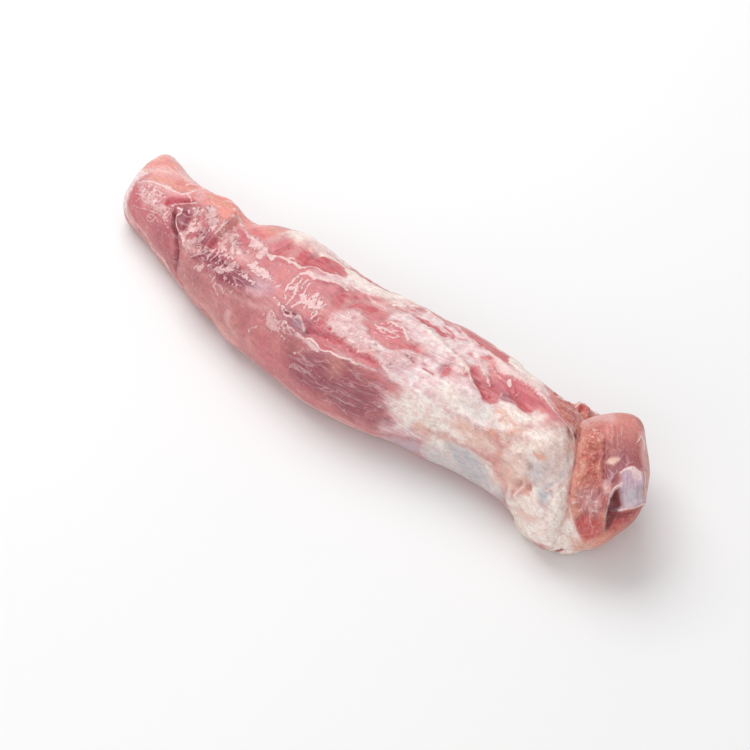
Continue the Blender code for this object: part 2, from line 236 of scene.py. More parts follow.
AREAS["long_muscle", "rose"] = (
    (1.5, 0.85, (20.5, 24.5), (24, 25.5), (27, 15.5), (32, 25), (29.5, 27.5), (25, 27)),
    (1.5, 0.5, (41.5, 39.5), (42.5, 36), (46.5, 39.5), (47.5, 43.5), (44, 41.5)),
    (2, 0.75, (48.5, 43), (49, 40.5), (51.5, 40), (57, 44.5), (60.5, 44), (63, 41.5), (54.5, 34.5),
        (57, 33.5), (65, 36), (76, 34.5), (86, 34.5), (90.5, 38), (81.5, 46), (74, 47), (69, 46.5),
        (68.5, 49), (66, 52.5), (63, 52), (51.5, 44.5)),
    (2, 0.6, (82, 41.5), (88, 38.5), (97, 38.5), (100, 39.5), (89.5, 42.5)),
    (1, 1, (44, 47), (44.5, 46), (47.5, 46), (48, 48.5), (45.5, 48)),
    (2, 0.55, (-33, 43), (-24.5, 36.5), (-21, 36), (-23, 41), (-26, 44), (-30.5, 44.5)),
    (2.5, 0.6, (-5.5, 40.5), (-0.5, 37), (4, 38), (2, 41.5), (-1.5, 44)),
    (2, 0.5, (10, 27.5), (13, 23.5), (26, 29), (23, 30), (16.5, 29)),
    (2.5, 0.8, (-1.5, 44), (2.5, 43.5), (2, 41.5), (5, 39), (9.5, 39), (20, 44), (27, 44.5), (26.5, 46.5),
        (19, 46.5), (17.5, 48), (14, 49), (0.5, 45.5)),
    (1.4, 1, (-27.5, 54.5), (-20, 51), (-17.5, 50.5), (-15.5, 52.5), (-12, 54), (-8, 54.5), (-3.5, 54),
        (-1, 55.5), (12, 56), (16, 56.5), (19.5, 58.5), (15, 59.5), (1.5, 58.5), (-3.5, 57.5), (-10.5, 59),
        (-19.5, 60), (-23, 57.5)),
    (3, 0.6, (14.5, 62), (21, 61), (28, 67), (18.5, 65)),
    (6, 0.5, (-44.5, 71), (-25, 70), (-20.5, 74.5), (13.5, 88), (7, 91), (-40.5, 91.5)),
    (3, 0.8, (-48.5, 35.5), (-42, 30.5), (-33.5, 31.5), (-32.5, 37.5), (-41.5, 39)),
    (3, 0.7, (-70.5, 42.5), (-64, 39.5), (-56.5, 42.5), (-61.5, 46.5)),
    (3, 0.6, (-20, 46.5), (-14.5, 44.5), (-8.5, 47.5), (-13, 51)),
    (4, 0.7, (-43, 47), (-36.5, 43.5), (-31, 46.5), (-36.5, 51)),
    (4, 0.7, (-132.5, 42.5), (-126, 33.5), (-119, 40), (-125, 47.5)),
    (3, 0.6, (34.5, 27), (41.5, 24.5), (45.5, 32), (38, 33.5)),
    (3, 0.6, (40, 41), (45.5, 38.5), (49, 43), (44.5, 45.5)),
    (9, 0.45, (-151.5, 60), (-138, 38), (-113.5, 32.5), (-96, 50.5), (-98, 63), (-119, 79), (-140.5, 77)),
    (9, 0.45, (-90, 31), (-20.5, 28), (-30, 53.5), (-49.5, 58), (-64, 51.5)),
    (2, 0.8, (-57, 36.5), (-53, 31), (-44.5, 27.5), (-25, 30), (-32, 35.5), (-43, 39), (-52, 39.5)),
    (2, 0.7, (-92.5, 20.5), (-75, 34), (-75, 37), (-81.5, 35.5)),
    (3, 0.8, (-155, 63.5), (-152.5, 56), (-136, 47), (-132.5, 46), (-127.5, 56), (-132.5, 65),
        (-144.5, 71.5), (-151, 71)),
    (4, 0.45, (-150.5, 71.5), (-127, 57), (-117.5, 58), (-107.5, 75.5), (-106.5, 94), (-119.5, 88),
        (-137.5, 83.5), (-147, 83.5)),
    (1.2, 1, (-132, 56), (-131, 47.5), (-129, 44.5), (-120, 37.5), (-117.5, 38), (-117, 40.5),
        (-125, 48.5), (-128, 53)),
    (1.6, 0.5, (-122, 48), (-114, 39.5), (-110.5, 46), (-108, 58), (-113, 59.5)),
    (2.5, 0.85, (-104.5, 54.5), (-98, 47), (-92, 46.5), (-85.5, 49), (-75.5, 49), (-64.5, 51.5),
        (-69.5, 55), (-88, 62), (-96.5, 63.5), (-103.5, 60)),
    (2.5, 0.8, (-88.5, 38.5), (-84.5, 34), (-76.5, 38), (-72.5, 44.5), (-75.5, 46.5), (-82, 43.5)),
    (2, 0.7, (-71, 38), (-66.5, 29), (-60, 27.5), (-59, 32), (-60.5, 40), (-64.5, 40.5), (-68.5, 39.5)),
    (2.5, 0.7, (-54, 46), (-50.5, 45), (-45, 48), (-43.5, 53), (-46.5, 53.5), (-49.5, 49.5)),
    (3, 0.5, (-40.5, 49), (-23, 52.5), (-25, 54.5), (-37, 55.5), (-42, 54), (-44, 51)),
    (2.2, 0.8, (-28, 52.5), (-24.5, 51.5), (-21.5, 53), (-18.5, 52), (-9, 55), (-2.5, 54), (-1, 56),
        (-8, 59.5), (-18.5, 60.5), (-26.5, 55.5)),
    (6, 0.3, (-54.5, 74.5), (-47, 63.5), (-41, 65.5), (-39, 75.5), (-47, 85.5), (-52.5, 83.5)),
)
AREAS["long_muscle", "amber"] = (
    (1.2, 0.5, (46, 26), (50.5, 23), (57.5, 25.5), (60, 29.5), (56, 29.5), (49.5, 28.5)),
    (2, 0.5, (54.5, 78.5), (61.5, 76.5), (62.5, 78), (56.5, 80)),
    (1.4, 1, (77.5, 61), (79, 57.5), (81.5, 55), (84, 54), (80, 59), (78, 62)),
    (2, 0.75, (76.5, 63.5), (80.5, 59.5), (81, 62.5), (77.5, 65)),
    (2, 0.9, (75.5, 71.5), (77, 69), (79.5, 68.5), (78.5, 72.5)),
    (3, 0.3, (69.5, 52), (75.5, 49), (79.5, 52.5), (75, 57)),
    (2, 0.7, (77, 63), (80.5, 59.5), (82, 61.5), (79.5, 65)),
    (1.4, 1, (77.5, 61), (79.5, 57.5), (83, 54), (84.5, 53.5), (78, 61)),
    (2.2, 0.5, (76, 70.5), (78.5, 67), (80, 71), (78, 74)),
    (2.2, 0.75, (80.5, 72), (82.5, 70), (85, 81.5), (83, 83)),
    (4, 0.3, (-27, 66.5), (-20.5, 63.5), (-14, 64), (-16, 68.5), (-24, 71)),
    (4, 0.55, (-2.5, 64), (1, 63), (4, 66.5), (2, 69), (-1, 68)),
    (5, 0.25, (-32.5, 73), (-25.5, 69), (-23, 74.5), (-28, 77)),
    (3, 0.4, (80, 69), (83, 62), (88, 59.5), (91, 65.5), (89.5, 76.5), (83.5, 79.5)),
    (3, 0.3, (91, 55), (99, 46), (105.5, 47), (105.5, 59), (96.5, 66.5)),
    (3, 0.6, (-79.5, 24), (-70, 25.5), (-63.5, 32), (-67.5, 36)),
    (4, 0.7, (78, 75), (84.5, 70.5), (89.5, 76), (85.5, 85), (80, 84)),
    (4, 0.55, (64.5, 69.5), (71.5, 65.5), (78, 66.5), (72.5, 75.5), (65.5, 75.5)),
    (4, 0.45, (-58, 78.5), (-55, 77), (-53.5, 80), (-55.5, 82.5), (-58, 82.5)),
)
# Pale film, and painted light: lightening where the surface lies in shade, such as the near lower edge and
# the strip's end
AREAS["long_muscle", "pale"] = (
    (3, 0.5, (28.5, 35), (34.5, 34.5), (38, 37.5), (33, 39)),
    (3, 0.4, (50, 84), (56, 81.5), (58.5, 86), (54.5, 88)),
    (3, 0.5, (89.5, 53), (95.5, 48), (97, 51), (90.5, 56)),
    (4, 0.45, (-16, 51.5), (-14, 44), (-7, 41.5), (10.5, 48.5), (27, 46.5), (30, 53), (24.5, 57),
        (-11, 54)),
    (3, 0.7, (-79, 47.5), (-73.5, 45.5), (-67, 48.5), (-71, 51.5)),
    (3, 0.6, (-106, 62), (-98, 56), (-93, 60.5), (-99.5, 66)),
    (3, 0.6, (-147, 58), (-137.5, 50.5), (-132, 57.5), (-141, 65)),
    (2, 0.9, (101.5, 34.5), (106, 14), (109, 13), (109.5, 33), (105, 38.5)),
    (1.5, 0.55, (95.5, 24), (102.5, 15), (106.5, 14), (107, 31.5), (101.5, 34.5)),
    (2.5, 0.8, (-141.5, 21), (-139.5, 13.5), (-134, 12.5), (-127.5, 13), (-126.5, 24.5), (-130, 28.5),
        (-136.5, 31.5), (-140, 30.5)),
    (3, 0.75, (-152.5, 42.5), (-148, 34.5), (-140.5, 30.5), (-134.5, 31.5), (-137, 37.5), (-149.5, 44)),
    (2.5, 0.75, (-153, 54.5), (-148, 46.5), (-134, 42.5), (-130.5, 43), (-126, 40), (-122, 33.5),
        (-122.5, 39), (-129, 44), (-144.5, 50.5), (-150.5, 55)),
    (2, 0.6, (-123, 27.5), (-123, 18), (-115.5, 30), (-114, 36.5), (-116.5, 37)),
    (2, 0.4, (-57.5, 35.5), (-53.5, 32.5), (-50.5, 37), (-54, 38.5)),
)
AREAS["long_muscle", "fat"] = (
    (1.5, 0.85, (58, 26), (64, 19.5), (77.5, 17), (85, 27), (77.5, 30.5), (67, 31.5), (60, 30.5)),
    (5, 0.8, (31, 63), (39.5, 61), (77.5, 65), (79, 72), (72, 77), (47.5, 81), (38, 81.5), (31.5, 75)),
    (4, 0.9, (67.5, 51.5), (75.5, 47), (84, 45), (87.5, 41.5), (92, 41.5), (90.5, 48), (77, 56.5),
        (71, 55.5)),
    (4, 0.85, (80.5, 60), (92.5, 43.5), (100, 39.5), (107, 39.5), (109, 41.5), (97, 52), (96, 58),
        (99.5, 62.5), (92, 78), (82.5, 85), (78.5, 77), (78.5, 66)),
    (1.5, 0.9, (81, 60.5), (84, 57.5), (87, 55.5), (89.5, 59.5), (89.5, 65.5), (86, 69.5), (83, 69.5),
        (81, 64.5)),
    (2.5, 1, (84.5, 88.5), (88, 81.5), (95.5, 75), (99, 76.5), (102, 76.5), (109, 54), (112.5, 71),
        (114.5, 107.5), (112.5, 103), (109.5, 102), (104, 93), (96, 100), (89, 100.5), (85, 94)),
    (4, 0.7, (30, 69.5), (34, 66.5), (41.5, 67.5), (46, 78), (39.5, 80.5), (33, 77.5)),
    (4, 0.8, (48, 76.5), (71, 75.5), (80, 78), (84.5, 85.5), (81, 98), (72.5, 102.5), (50, 102)),
    (5, 0.75, (42, 58), (47.5, 53), (60, 53.5), (68.5, 59), (64, 65.5), (48, 63)),
    (3, 0.9, (69, 58.5), (94.5, 45.5), (99, 51.5), (90.5, 54), (74.5, 63)),
    (3, 0.95, (88, 55), (98, 45), (105.5, 44.5), (108.5, 53), (105, 65.5), (95.5, 71), (90, 64)),
    (2, 0.95, (99, 46), (107.5, 38), (110, 48.5), (111, 67), (104.5, 71.5), (101, 58)),
    (3, 0.8, (73, 62), (78.5, 57.5), (84, 59), (83.5, 63.5), (78, 66.5)),
    (3, 0.9, (90.5, 73), (99, 66.5), (106, 69), (103.5, 75.5), (94.5, 79.5)),
    (1, 1.2, (113, 77.5), (114, 105), (112.5, 103.5), (110.5, 102), (112, 89.5)),
    (3, 0.9, (42.5, 59), (47.5, 53), (56, 53), (73.5, 55.5), (71.5, 63), (57.5, 64.5)),
    # Weak fat here is painted light on the muscle's shaded end by the strip
    (1.5, 0.25, (86, 32), (99, 22.5), (104.5, 14.5), (107, 24), (101, 36.5), (92, 35.5)),
    (1.2, 1, (63.5, 28.5), (71.5, 25.5), (83, 26), (84, 33.5), (77.5, 33.5), (69.5, 32.5)),
    (3, 1.1, (46.5, 57), (50.5, 55), (57, 58), (58, 63), (53, 63.5)),
)
AREAS["long_muscle", "purple"] = (
    (1.6, 1, (56, 47), (63.5, 44), (68.5, 49), (68, 51), (66, 52.5), (63, 52), (57.5, 48.5)),
    (1.4, 0.7, (67, 44), (71.5, 43.5), (75.5, 45), (74, 47), (69, 46.5)),
    (1.2, 1, (102, 39), (105, 37.5), (107, 38), (106.5, 40), (104.5, 40.5)),
    (2, 0.7, (27.5, 81.5), (32, 80), (33, 83.5), (30, 86)),
    (1.6, 0.6, (-26, 55), (-21, 53.5), (-17.5, 56), (-12.5, 57), (-16, 59), (-20, 59.5)),
    (4, 0.75, (-26.5, 64), (10, 62), (27, 68), (23, 85), (13.5, 89.5), (4, 85), (-17.5, 83), (-27, 69)),
    (2.2, 1, (-13.5, 67), (-10, 65.5), (-9, 67.5), (-11.5, 69)),
    (2.2, 1, (3.5, 63), (7, 62), (10.5, 64), (6.5, 65)),
    (2.2, 1, (9, 65.5), (13, 65), (15, 67.5), (11.5, 68)),
    (2.2, 1, (3.5, 75.5), (11, 72.5), (11.5, 75), (6, 77.5)),
    (2.2, 1, (12, 76), (14.5, 73.5), (18.5, 74), (20, 77), (14, 78.5)),
    (2.2, 1, (17.5, 68.5), (21, 68), (23.5, 69.5), (23.5, 71), (19.5, 70.5)),
    (2.2, 1, (13, 81), (25, 75.5), (25.5, 79), (17, 84)),
    (2.2, 1, (14.5, 64.5), (21.5, 65.5), (21.5, 67), (16.5, 66.5)),
    (4, 0.5, (-27, 67), (-19, 63), (-12.5, 68.5), (-17.5, 73), (-24, 72.5)),
    (3, 0.7, (20.5, 84), (33, 81), (33, 84.5), (27, 88), (22, 88)),
    (4, 0.5, (-62, 56.5), (-55.5, 52), (-50, 54.5), (-56, 60)),
    (6, 0.45, (-100, 73), (-89, 64), (-78.5, 71), (-83.5, 81), (-96.5, 82)),
    (6, 0.45, (-66.5, 62), (-55.5, 57), (-46.5, 61.5), (-53.5, 68.5), (-63.5, 67.5)),
    (1.5, 1, (54.5, 45), (59.5, 45.5), (65, 44), (69, 48.5), (67.5, 52), (63, 51.5), (58, 49)),
    (5, 0.6, (-17.5, 68.5), (10.5, 67.5), (28, 72.5), (26.5, 81.5), (14.5, 84), (-10, 79), (-17, 74)),
    (3, 0.7, (13.5, 74), (22.5, 73), (29.5, 75.5), (27, 83), (19, 81.5)),
    (4, 0.35, (-127.5, 69), (-118.5, 57.5), (-107.5, 75.5), (-106.5, 94), (-116, 86.5), (-129, 83.5)),
    (1.6, 0.85, (-121, 48), (-117.5, 44), (-113.5, 42), (-108.5, 51), (-108, 58), (-112.5, 59),
        (-116.5, 55), (-117.5, 51)),
    (2.5, 0.95, (-99, 65.5), (-86.5, 55), (-81.5, 53.5), (-70, 54.5), (-64.5, 53), (-56.5, 53.5),
        (-52.5, 55.5), (-68, 65), (-74, 66.5), (-79, 65), (-84, 65.5), (-86.5, 63.5), (-92.5, 67)),
    (2, 0.85, (-100.5, 50.5), (-98, 46), (-91.5, 49.5), (-89.5, 56.5), (-95.5, 61), (-98.5, 61)),
    (2, 0.85, (-62, 56), (-57, 54.5), (-53, 56), (-54.5, 59), (-62.5, 62.5), (-71, 64), (-75, 63.5),
        (-74.5, 61), (-64, 59)),
    (2, 0.8, (-72, 56), (-70.5, 53.5), (-59, 54), (-60, 56), (-71, 59)),
    (2, 0.9, (-38, 56.5), (-34.5, 55.5), (-26, 55.5), (-16.5, 60), (-26.5, 61.5), (-31.5, 61), (-35.5, 59)),
    (6, 0.3, (-63, 70.5), (-52.5, 63), (-47.5, 65.5), (-49.5, 74.5), (-56.5, 79.5), (-61.5, 76.5)),
)
AREAS["long_muscle", "salmon"] = (
    (1.6, 0.85, (54.5, 34.5), (57, 33.5), (61, 34), (65.5, 36.5), (66, 39), (63.5, 39.5), (58.5, 37.5)),
    (1.6, 0.55, (70, 36), (76, 34.5), (84, 35.5), (81.5, 37.5), (76, 39)),
    (2.5, 0.45, (-6, 33.5), (-1, 32.5), (3, 35.5), (0, 37.5), (-3, 35.5)),
    # Strong salmon on the muscle's end by the strip is painted light there, where it lies in shade
    (1.2, 1.8, (86.5, 26), (96, 16), (107.5, 13.5), (107.5, 32.5), (102, 36), (95.5, 34.5)),
    (3, 0.75, (-158, 33.5), (-157.5, 20), (-146, 15.5), (-128, 13.5), (-114.5, 19), (-103.5, 20.5),
        (-100, 19), (-93.5, 9.5), (-77, 28), (-65.5, 35.5), (-91.5, 34), (-98, 39), (-104.5, 34),
        (-111.5, 35.5), (-118.5, 34), (-126, 40), (-134.5, 44), (-146, 46.5), (-159, 44)),
    (2, 1, (-111.5, 35.5), (-115, 24.5), (-108.5, 24.5), (-100.5, 21), (-96, 20), (-93.5, 34.5),
        (-99, 38.5)),
    (2, 1, (-91, 30), (-93.5, 17.5), (-80.5, 30), (-68.5, 32.5), (-63, 37.5), (-71.5, 38.5), (-79.5, 37)),
    (1.2, 0.9, (-95.5, 29.5), (-93.5, 30), (-90, 39), (-89.5, 47.5), (-91, 45), (-92.5, 39.5)),
    (3, 0.8, (-99.5, 25), (-93.5, 14), (-75, 27.5), (-66.5, 26.5), (-67, 34.5), (-71, 38), (-77.5, 36.5),
        (-83, 34), (-93, 25)),
    (3, 0.4, (-60, 41), (-57.5, 34.5), (-53.5, 32), (-49.5, 39.5), (-55, 40)),
    (2.5, 0.6, (-54, 45.5), (-51, 44.5), (-45.5, 47.5), (-45, 50.5), (-48.5, 50.5)),
)
# Dark: painted shade in grooves, pits and pockets, and darker flesh in the windows
AREAS["long_muscle", "dark"] = (
    (1.6, 0.3, (74, 43), (79.5, 41), (83.5, 42.5), (84, 44.5), (81.5, 46.5), (77.5, 46.5)),
    (1.2, 0.4, (103, 39), (105.5, 37.5), (107, 38), (106.5, 40), (104.5, 40)),
    (1.4, 0.5, (89, 66.5), (92, 64), (92, 65.5), (90, 68)),
    (1.2, 0.62, (86, 80), (87, 76), (89, 74), (89, 76.5), (87.5, 80), (86, 81.5)),
    (1.3, 0.45, (91, 77.5), (91.5, 75), (93.5, 73), (93, 75)),
    (0.8, 0.7, (105, 38), (106.5, 37.5), (107, 38.5), (106.5, 39.5)),
    (1.2, 0.3, (-13.5, 58), (-8, 54.5), (-3, 54), (-1.5, 55.5), (-3.5, 57), (-11, 59)),
    (2.2, 0.34, (-13.5, 67), (-10, 65.5), (-9, 67.5), (-11.5, 69)),
    (2.2, 0.34, (-8, 69.5), (-4, 67), (-2.5, 68), (-6.5, 71)),
    (2.2, 0.34, (3.5, 63), (7, 62), (10.5, 64), (6.5, 65)),
    (2.2, 0.34, (9, 65.5), (13, 65), (15, 67.5), (11.5, 68)),
    (2.2, 0.34, (3.5, 75.5), (11, 72.5), (11.5, 75), (6, 77.5)),
    (2.2, 0.34, (12, 76), (14.5, 73.5), (18.5, 74), (20, 77), (14, 78.5)),
    (2.2, 0.34, (17.5, 68.5), (21, 68), (23.5, 69.5), (23.5, 71), (19.5, 70.5)),
    (2.2, 0.34, (13, 81), (25, 75.5), (25.5, 79), (17, 84)),
    (2.2, 0.34, (-15.5, 78), (-10.5, 75.5), (-7, 76), (-7, 77), (-13, 79)),
    (2.2, 0.34, (14.5, 64.5), (21.5, 65.5), (21.5, 67), (16.5, 66.5)),
    (2.2, 0.34, (2.5, 80), (6, 79), (8.5, 80), (5, 82)),
    (0.8, 0.9, (105.5, 36.5), (107, 32.5), (108, 34.5), (107.5, 38)),
    (2, 0.32, (56.5, 46.5), (64, 44.5), (68.5, 49.5), (63.5, 51.5)),
)
AREAS["long_muscle", "lilac"] = (
    (3, 0.5, (32, 45.5), (36, 42.5), (41, 43.5), (44, 47), (40, 50.5)),
    (3, 0.3, (55, 50), (58.5, 50), (63.5, 53.5), (61.5, 57.5), (57, 54.5)),
    (4, 0.45, (31.5, 83), (39.5, 80.5), (43.5, 85), (34.5, 90), (29, 90.5)),
    (3, 0.7, (28.5, 96), (36.5, 89.5), (45, 87.5), (50, 88), (54, 90.5), (47, 95), (38, 96.5), (27.5, 102)),
    (3, 0.7, (30.5, 94), (38.5, 89.5), (45.5, 87.5), (47.5, 95.5), (40.5, 102), (33.5, 102)),
    (1.6, 0.75, (-49, 29.5), (-47, 29.5), (-44.5, 33.5), (-44.5, 36.5), (-45.5, 35.5), (-47, 32.5)),
    (4, 0.5, (-57.5, 52), (-51, 50.5), (-47.5, 52.5), (-50, 56.5), (-56, 57.5), (-58, 54)),
    (1, 0.6, (-29.5, 58), (-27, 56), (-24, 57), (-21, 59.5), (-28, 59.5)),
)
# Blue-grey silver skin, and below the fold near the head end a painted shadow
AREAS["long_muscle", "blue"] = (
    (4, 0.5, (56.5, 55), (67.5, 55), (70.5, 59.5), (67, 62.5), (62.5, 61.5)),
    (3, 0.55, (30.5, 95), (45, 88), (54, 91.5), (47, 95), (35.5, 98)),
    (3, 0.95, (58, 80.5), (63, 78.5), (73.5, 79.5), (75.5, 86), (73.5, 98), (67.5, 99), (63, 89.5),
        (60, 87.5)),
    (4, 0.55, (97, 52), (109.5, 42.5), (105.5, 53), (100.5, 58)),
    (1.8, 1, (109, 46.5), (108.5, 52), (106.5, 58), (103.5, 64.5), (100.5, 68.5), (99, 67.5),
        (102.5, 61.5), (107, 50)),
    (3, 0.9, (60.5, 79.5), (64, 78.5), (72, 80), (77.5, 90), (73.5, 95.5), (67.5, 96), (60.5, 87.5)),
    (3, 0.6, (76, 90.5), (84.5, 86.5), (85, 92), (81, 102), (77, 99.5)),
    (2, 0.9, (96, 72.5), (99.5, 67.5), (102.5, 66.5), (103, 72), (101.5, 76), (99, 76.5)),
    (3, 0.5, (35, 92), (45.5, 88), (47.5, 95.5), (40.5, 102), (34.5, 101.5)),
    (3, 0.7, (50.5, 85), (81, 88.5), (73, 102.5), (50, 102)),
    (4, 1, (90, 64), (97.5, 54.5), (102.5, 54.5), (100, 66), (91.5, 72)),
)
# White threads of film, and in places painted highlights along rims and painted glints
AREAS["long_muscle", "thread_and_glint"] = (
    (0.8, 1, (99, 65.5), (102.5, 61.5), (102, 63.5), (100, 65.5)),
    (3, 0.55, (46, 41), (51, 36.5), (58, 38), (58.5, 43.5), (53.5, 44.5)),
    (4, 0.85, (50.5, 32), (75.5, 30.5), (88.5, 32.5), (94.5, 36), (89.5, 38), (76.5, 36.5)),
    (3, 0.66, (1.5, 39.5), (8.5, 38), (16, 41.5), (16, 46), (8, 44)),
    (4, 0.9, (-63, 25), (-49.5, 14.5), (-39.5, 13.5), (-38, 23.5), (-54, 28.5)),
    (4, 0.8, (-14, 29), (-5.5, 25), (0.5, 19), (10, 19), (10.5, 29.5), (-6, 33)),
    (3, 0.85, (51.5, 31.5), (86.5, 26), (91.5, 34.5), (60, 38)),
    (3, 0.85, (38.5, 43.5), (45, 40.5), (52, 47), (45, 50)),
    (3, 0.9, (49, 37.5), (54, 34.5), (60, 40), (56.5, 43.5)),
    (3, 0.4, (-73.5, 61), (-68, 57.5), (-62.5, 60.5), (-69, 64.5)),
    (3, 0.45, (3.5, 47.5), (8.5, 45.5), (14, 49.5), (8.5, 52)),
    (3, 0.45, (22, 44), (27, 42), (32.5, 45.5), (27, 48)),
    (2, 0.5, (-49.5, 38), (-51, 23.5), (-48.5, 23), (-47, 38)),
)
# Painted highlights: pale flakes of wet film where the light shone, with real gloss from the coat as well
AREAS["long_muscle", "film_and_highlight"] = (
    (1.5, 0.25, (-16, 51.5), (-17.5, 47), (-11, 43), (-7, 41.5), (1.5, 45.5), (10.5, 48.5), (14.5, 49),
        (18.5, 48.5), (21, 46), (27, 46.5), (29, 51.5), (27.5, 55), (20, 57), (12.5, 56), (10, 56.5),
        (6, 56.5), (-2, 55), (-14, 54)),
    (0.8, 0.8, (-20.5, 70), (-19.5, 69.5), (-19.5, 70.5), (-20, 71)),
    (3, 0.55, (-91, 56), (-83, 49), (-73.5, 50.5), (-72.5, 56.5), (-82.5, 60.5)),
    (3, 0.7, (-93.5, 44.5), (-90, 38.5), (-83, 44.5), (-86.5, 48)),
    (1.6, 0.52, (-152, 57), (-145, 50), (-136, 47.5), (-132, 49.5), (-132, 54.5), (-124.5, 53), (-121, 55),
        (-123, 61.5), (-129.5, 62), (-145, 61.5)),
    (1.3, 0.86, (-113.5, 41.5), (-112.5, 38), (-110, 39.5), (-107.5, 49.5), (-107, 46), (-104.5, 44.5),
        (-102, 45.5), (-100, 49.5), (-104, 56), (-107, 55), (-108.5, 51.5), (-109.5, 47), (-111.5, 44.5)),
    (1.3, 0.86, (-111, 61.5), (-107, 55), (-104, 56.5), (-104.5, 60), (-102.5, 59.5), (-97, 63.5),
        (-103, 66.5), (-105.5, 65), (-106, 61.5)),
    (1.3, 0.86, (-104, 58), (-101, 57.5), (-99, 51.5), (-98, 56.5), (-98, 59.5), (-99, 61.5), (-102, 61)),
    (1.3, 0.86, (-111.5, 35.5), (-108.5, 32.5), (-104, 33.5), (-96, 41.5), (-94, 44.5), (-93, 50.5),
        (-95, 47.5), (-98, 45.5), (-106.5, 41.5), (-107.5, 38.5)),
    (1.3, 0.86, (-97.5, 31), (-96, 30.5), (-93.5, 36.5), (-91.5, 43), (-90, 51.5), (-92.5, 49),
        (-96.5, 35)),
    (1.3, 0.86, (-88.5, 40.5), (-86.5, 40), (-82.5, 43.5), (-75, 46), (-71.5, 44.5), (-70, 45.5),
        (-70.5, 47.5), (-73, 47), (-72.5, 48.5), (-74.5, 48), (-75, 49.5), (-77.5, 47.5), (-74.5, 52.5),
        (-83.5, 46), (-85, 47), (-82, 52.5), (-82, 53.5), (-84.5, 52), (-85, 53.5), (-87.5, 54), (-89, 43)),
    (1.3, 0.86, (-77.5, 38.5), (-75, 36.5), (-70.5, 39.5), (-67, 39), (-61.5, 43.5), (-66, 43.5),
        (-68, 44.5), (-71, 44), (-74.5, 43), (-75.5, 40.5)),
    (1.3, 0.86, (-90.5, 69), (-87, 63.5), (-84.5, 65.5), (-86, 69), (-89, 70.5)),
    (1.3, 0.86, (-81, 61.5), (-79, 59), (-76.5, 57.5), (-74, 59), (-74, 61), (-71.5, 62), (-68, 61.5),
        (-68.5, 63.5), (-72.5, 63), (-74.5, 62), (-77, 63.5), (-80, 63)),
    (1.3, 0.86, (-75.5, 57.5), (-74.5, 53.5), (-71.5, 52.5), (-70.5, 54.5), (-71.5, 58), (-72.5, 59.5),
        (-74.5, 59)),
    (1.3, 0.86, (-68, 56.5), (-66.5, 54.5), (-63.5, 54), (-58, 54.5), (-57.5, 56), (-62, 55.5),
        (-65, 56.5)),
    (1.3, 0.86, (-67, 62.5), (-65, 60), (-62, 59.5), (-63.5, 61.5), (-65.5, 63)),
    (1.3, 0.86, (-79.5, 67), (-75.5, 65), (-77, 69)),
    (1.3, 0.86, (-68, 68.5), (-67, 66), (-63.5, 64), (-63.5, 66), (-66.5, 68)),
    (1.3, 0.86, (-67, 48.5), (-65, 46.5), (-58, 49), (-55.5, 48.5), (-52.5, 51), (-61, 51.5),
        (-64.5, 50.5)),
    (1.3, 0.86, (-88, 39.5), (-88, 37.5), (-78.5, 44.5), (-82, 43)),
    (1.3, 0.86, (-98, 19.5), (-94, 21.5), (-82.5, 37.5), (-89, 32), (-95.5, 24.5)),
    (1.3, 0.84, (-78.5, 39), (-74, 37.5), (-62, 42), (-65, 45.5), (-67.5, 45.5), (-70.5, 44), (-74, 43.5),
        (-73, 45), (-75.5, 44), (-76, 41.5)),
    (1.3, 0.86, (-66.5, 49.5), (-66, 47), (-63.5, 46.5), (-61.5, 49), (-62.5, 51.5), (-65.5, 51)),
    (1.3, 0.84, (-61.5, 51.5), (-60.5, 47.5), (-58, 47), (-55, 48), (-52, 48), (-50, 49), (-51, 50.5),
        (-54, 50.5), (-59.5, 51.5)),
    (1.4, 0.82, (-42.5, 48), (-42, 45.5), (-30, 46.5), (-23, 44), (-22, 46), (-21.5, 50.5), (-20.5, 52.5),
        (-23, 53.5), (-24, 51), (-33, 51), (-33.5, 49), (-40.5, 48.5)),
    (1.4, 0.86, (-43, 62), (-40.5, 61), (-37.5, 62), (-34, 62), (-31.5, 64.5), (-31, 67), (-27.5, 67),
        (-26, 68.5), (-30, 68.5), (-33.5, 67.5), (-37.5, 68.5), (-40.5, 67.5), (-40.5, 64.5)),
)
AREAS["long_muscle", "grainy"] = (
    (1, 1.2, (85.5, 27), (94, 16.5), (101.5, 15), (108.5, 13), (108, 33), (102, 36), (94.5, 35)),
)
AREAS["head_lobe", "grainy"] = (
    (6, 0.95, (83, -21.5), (96, -17.5), (91.5, -44.5), (78, -45), (82, -27)),
)
AREAS["head_lobe", "amber"] = (
    (3, 0.5, (83, -27.5), (84.5, -28.5), (83, -39), (78.5, -45.5), (82, -33)),
    (1, 0.7, (93.5, -34.5), (96, -33), (99, -33.5), (99.5, -34.5), (97, -36.5), (94, -35.5)),
    (1.2, 0.7, (84.5, -69), (88, -67), (91.5, -66.5), (95, -67), (98.5, -64), (101, -64.5), (94.5, -69.5),
        (88, -72), (83, -71)),
    (1.6, 1, (80, -65.5), (85.5, -67.5), (91.5, -66.5), (96, -63), (94.5, -69.5), (88.5, -71.5),
        (81.5, -72.5)),
)
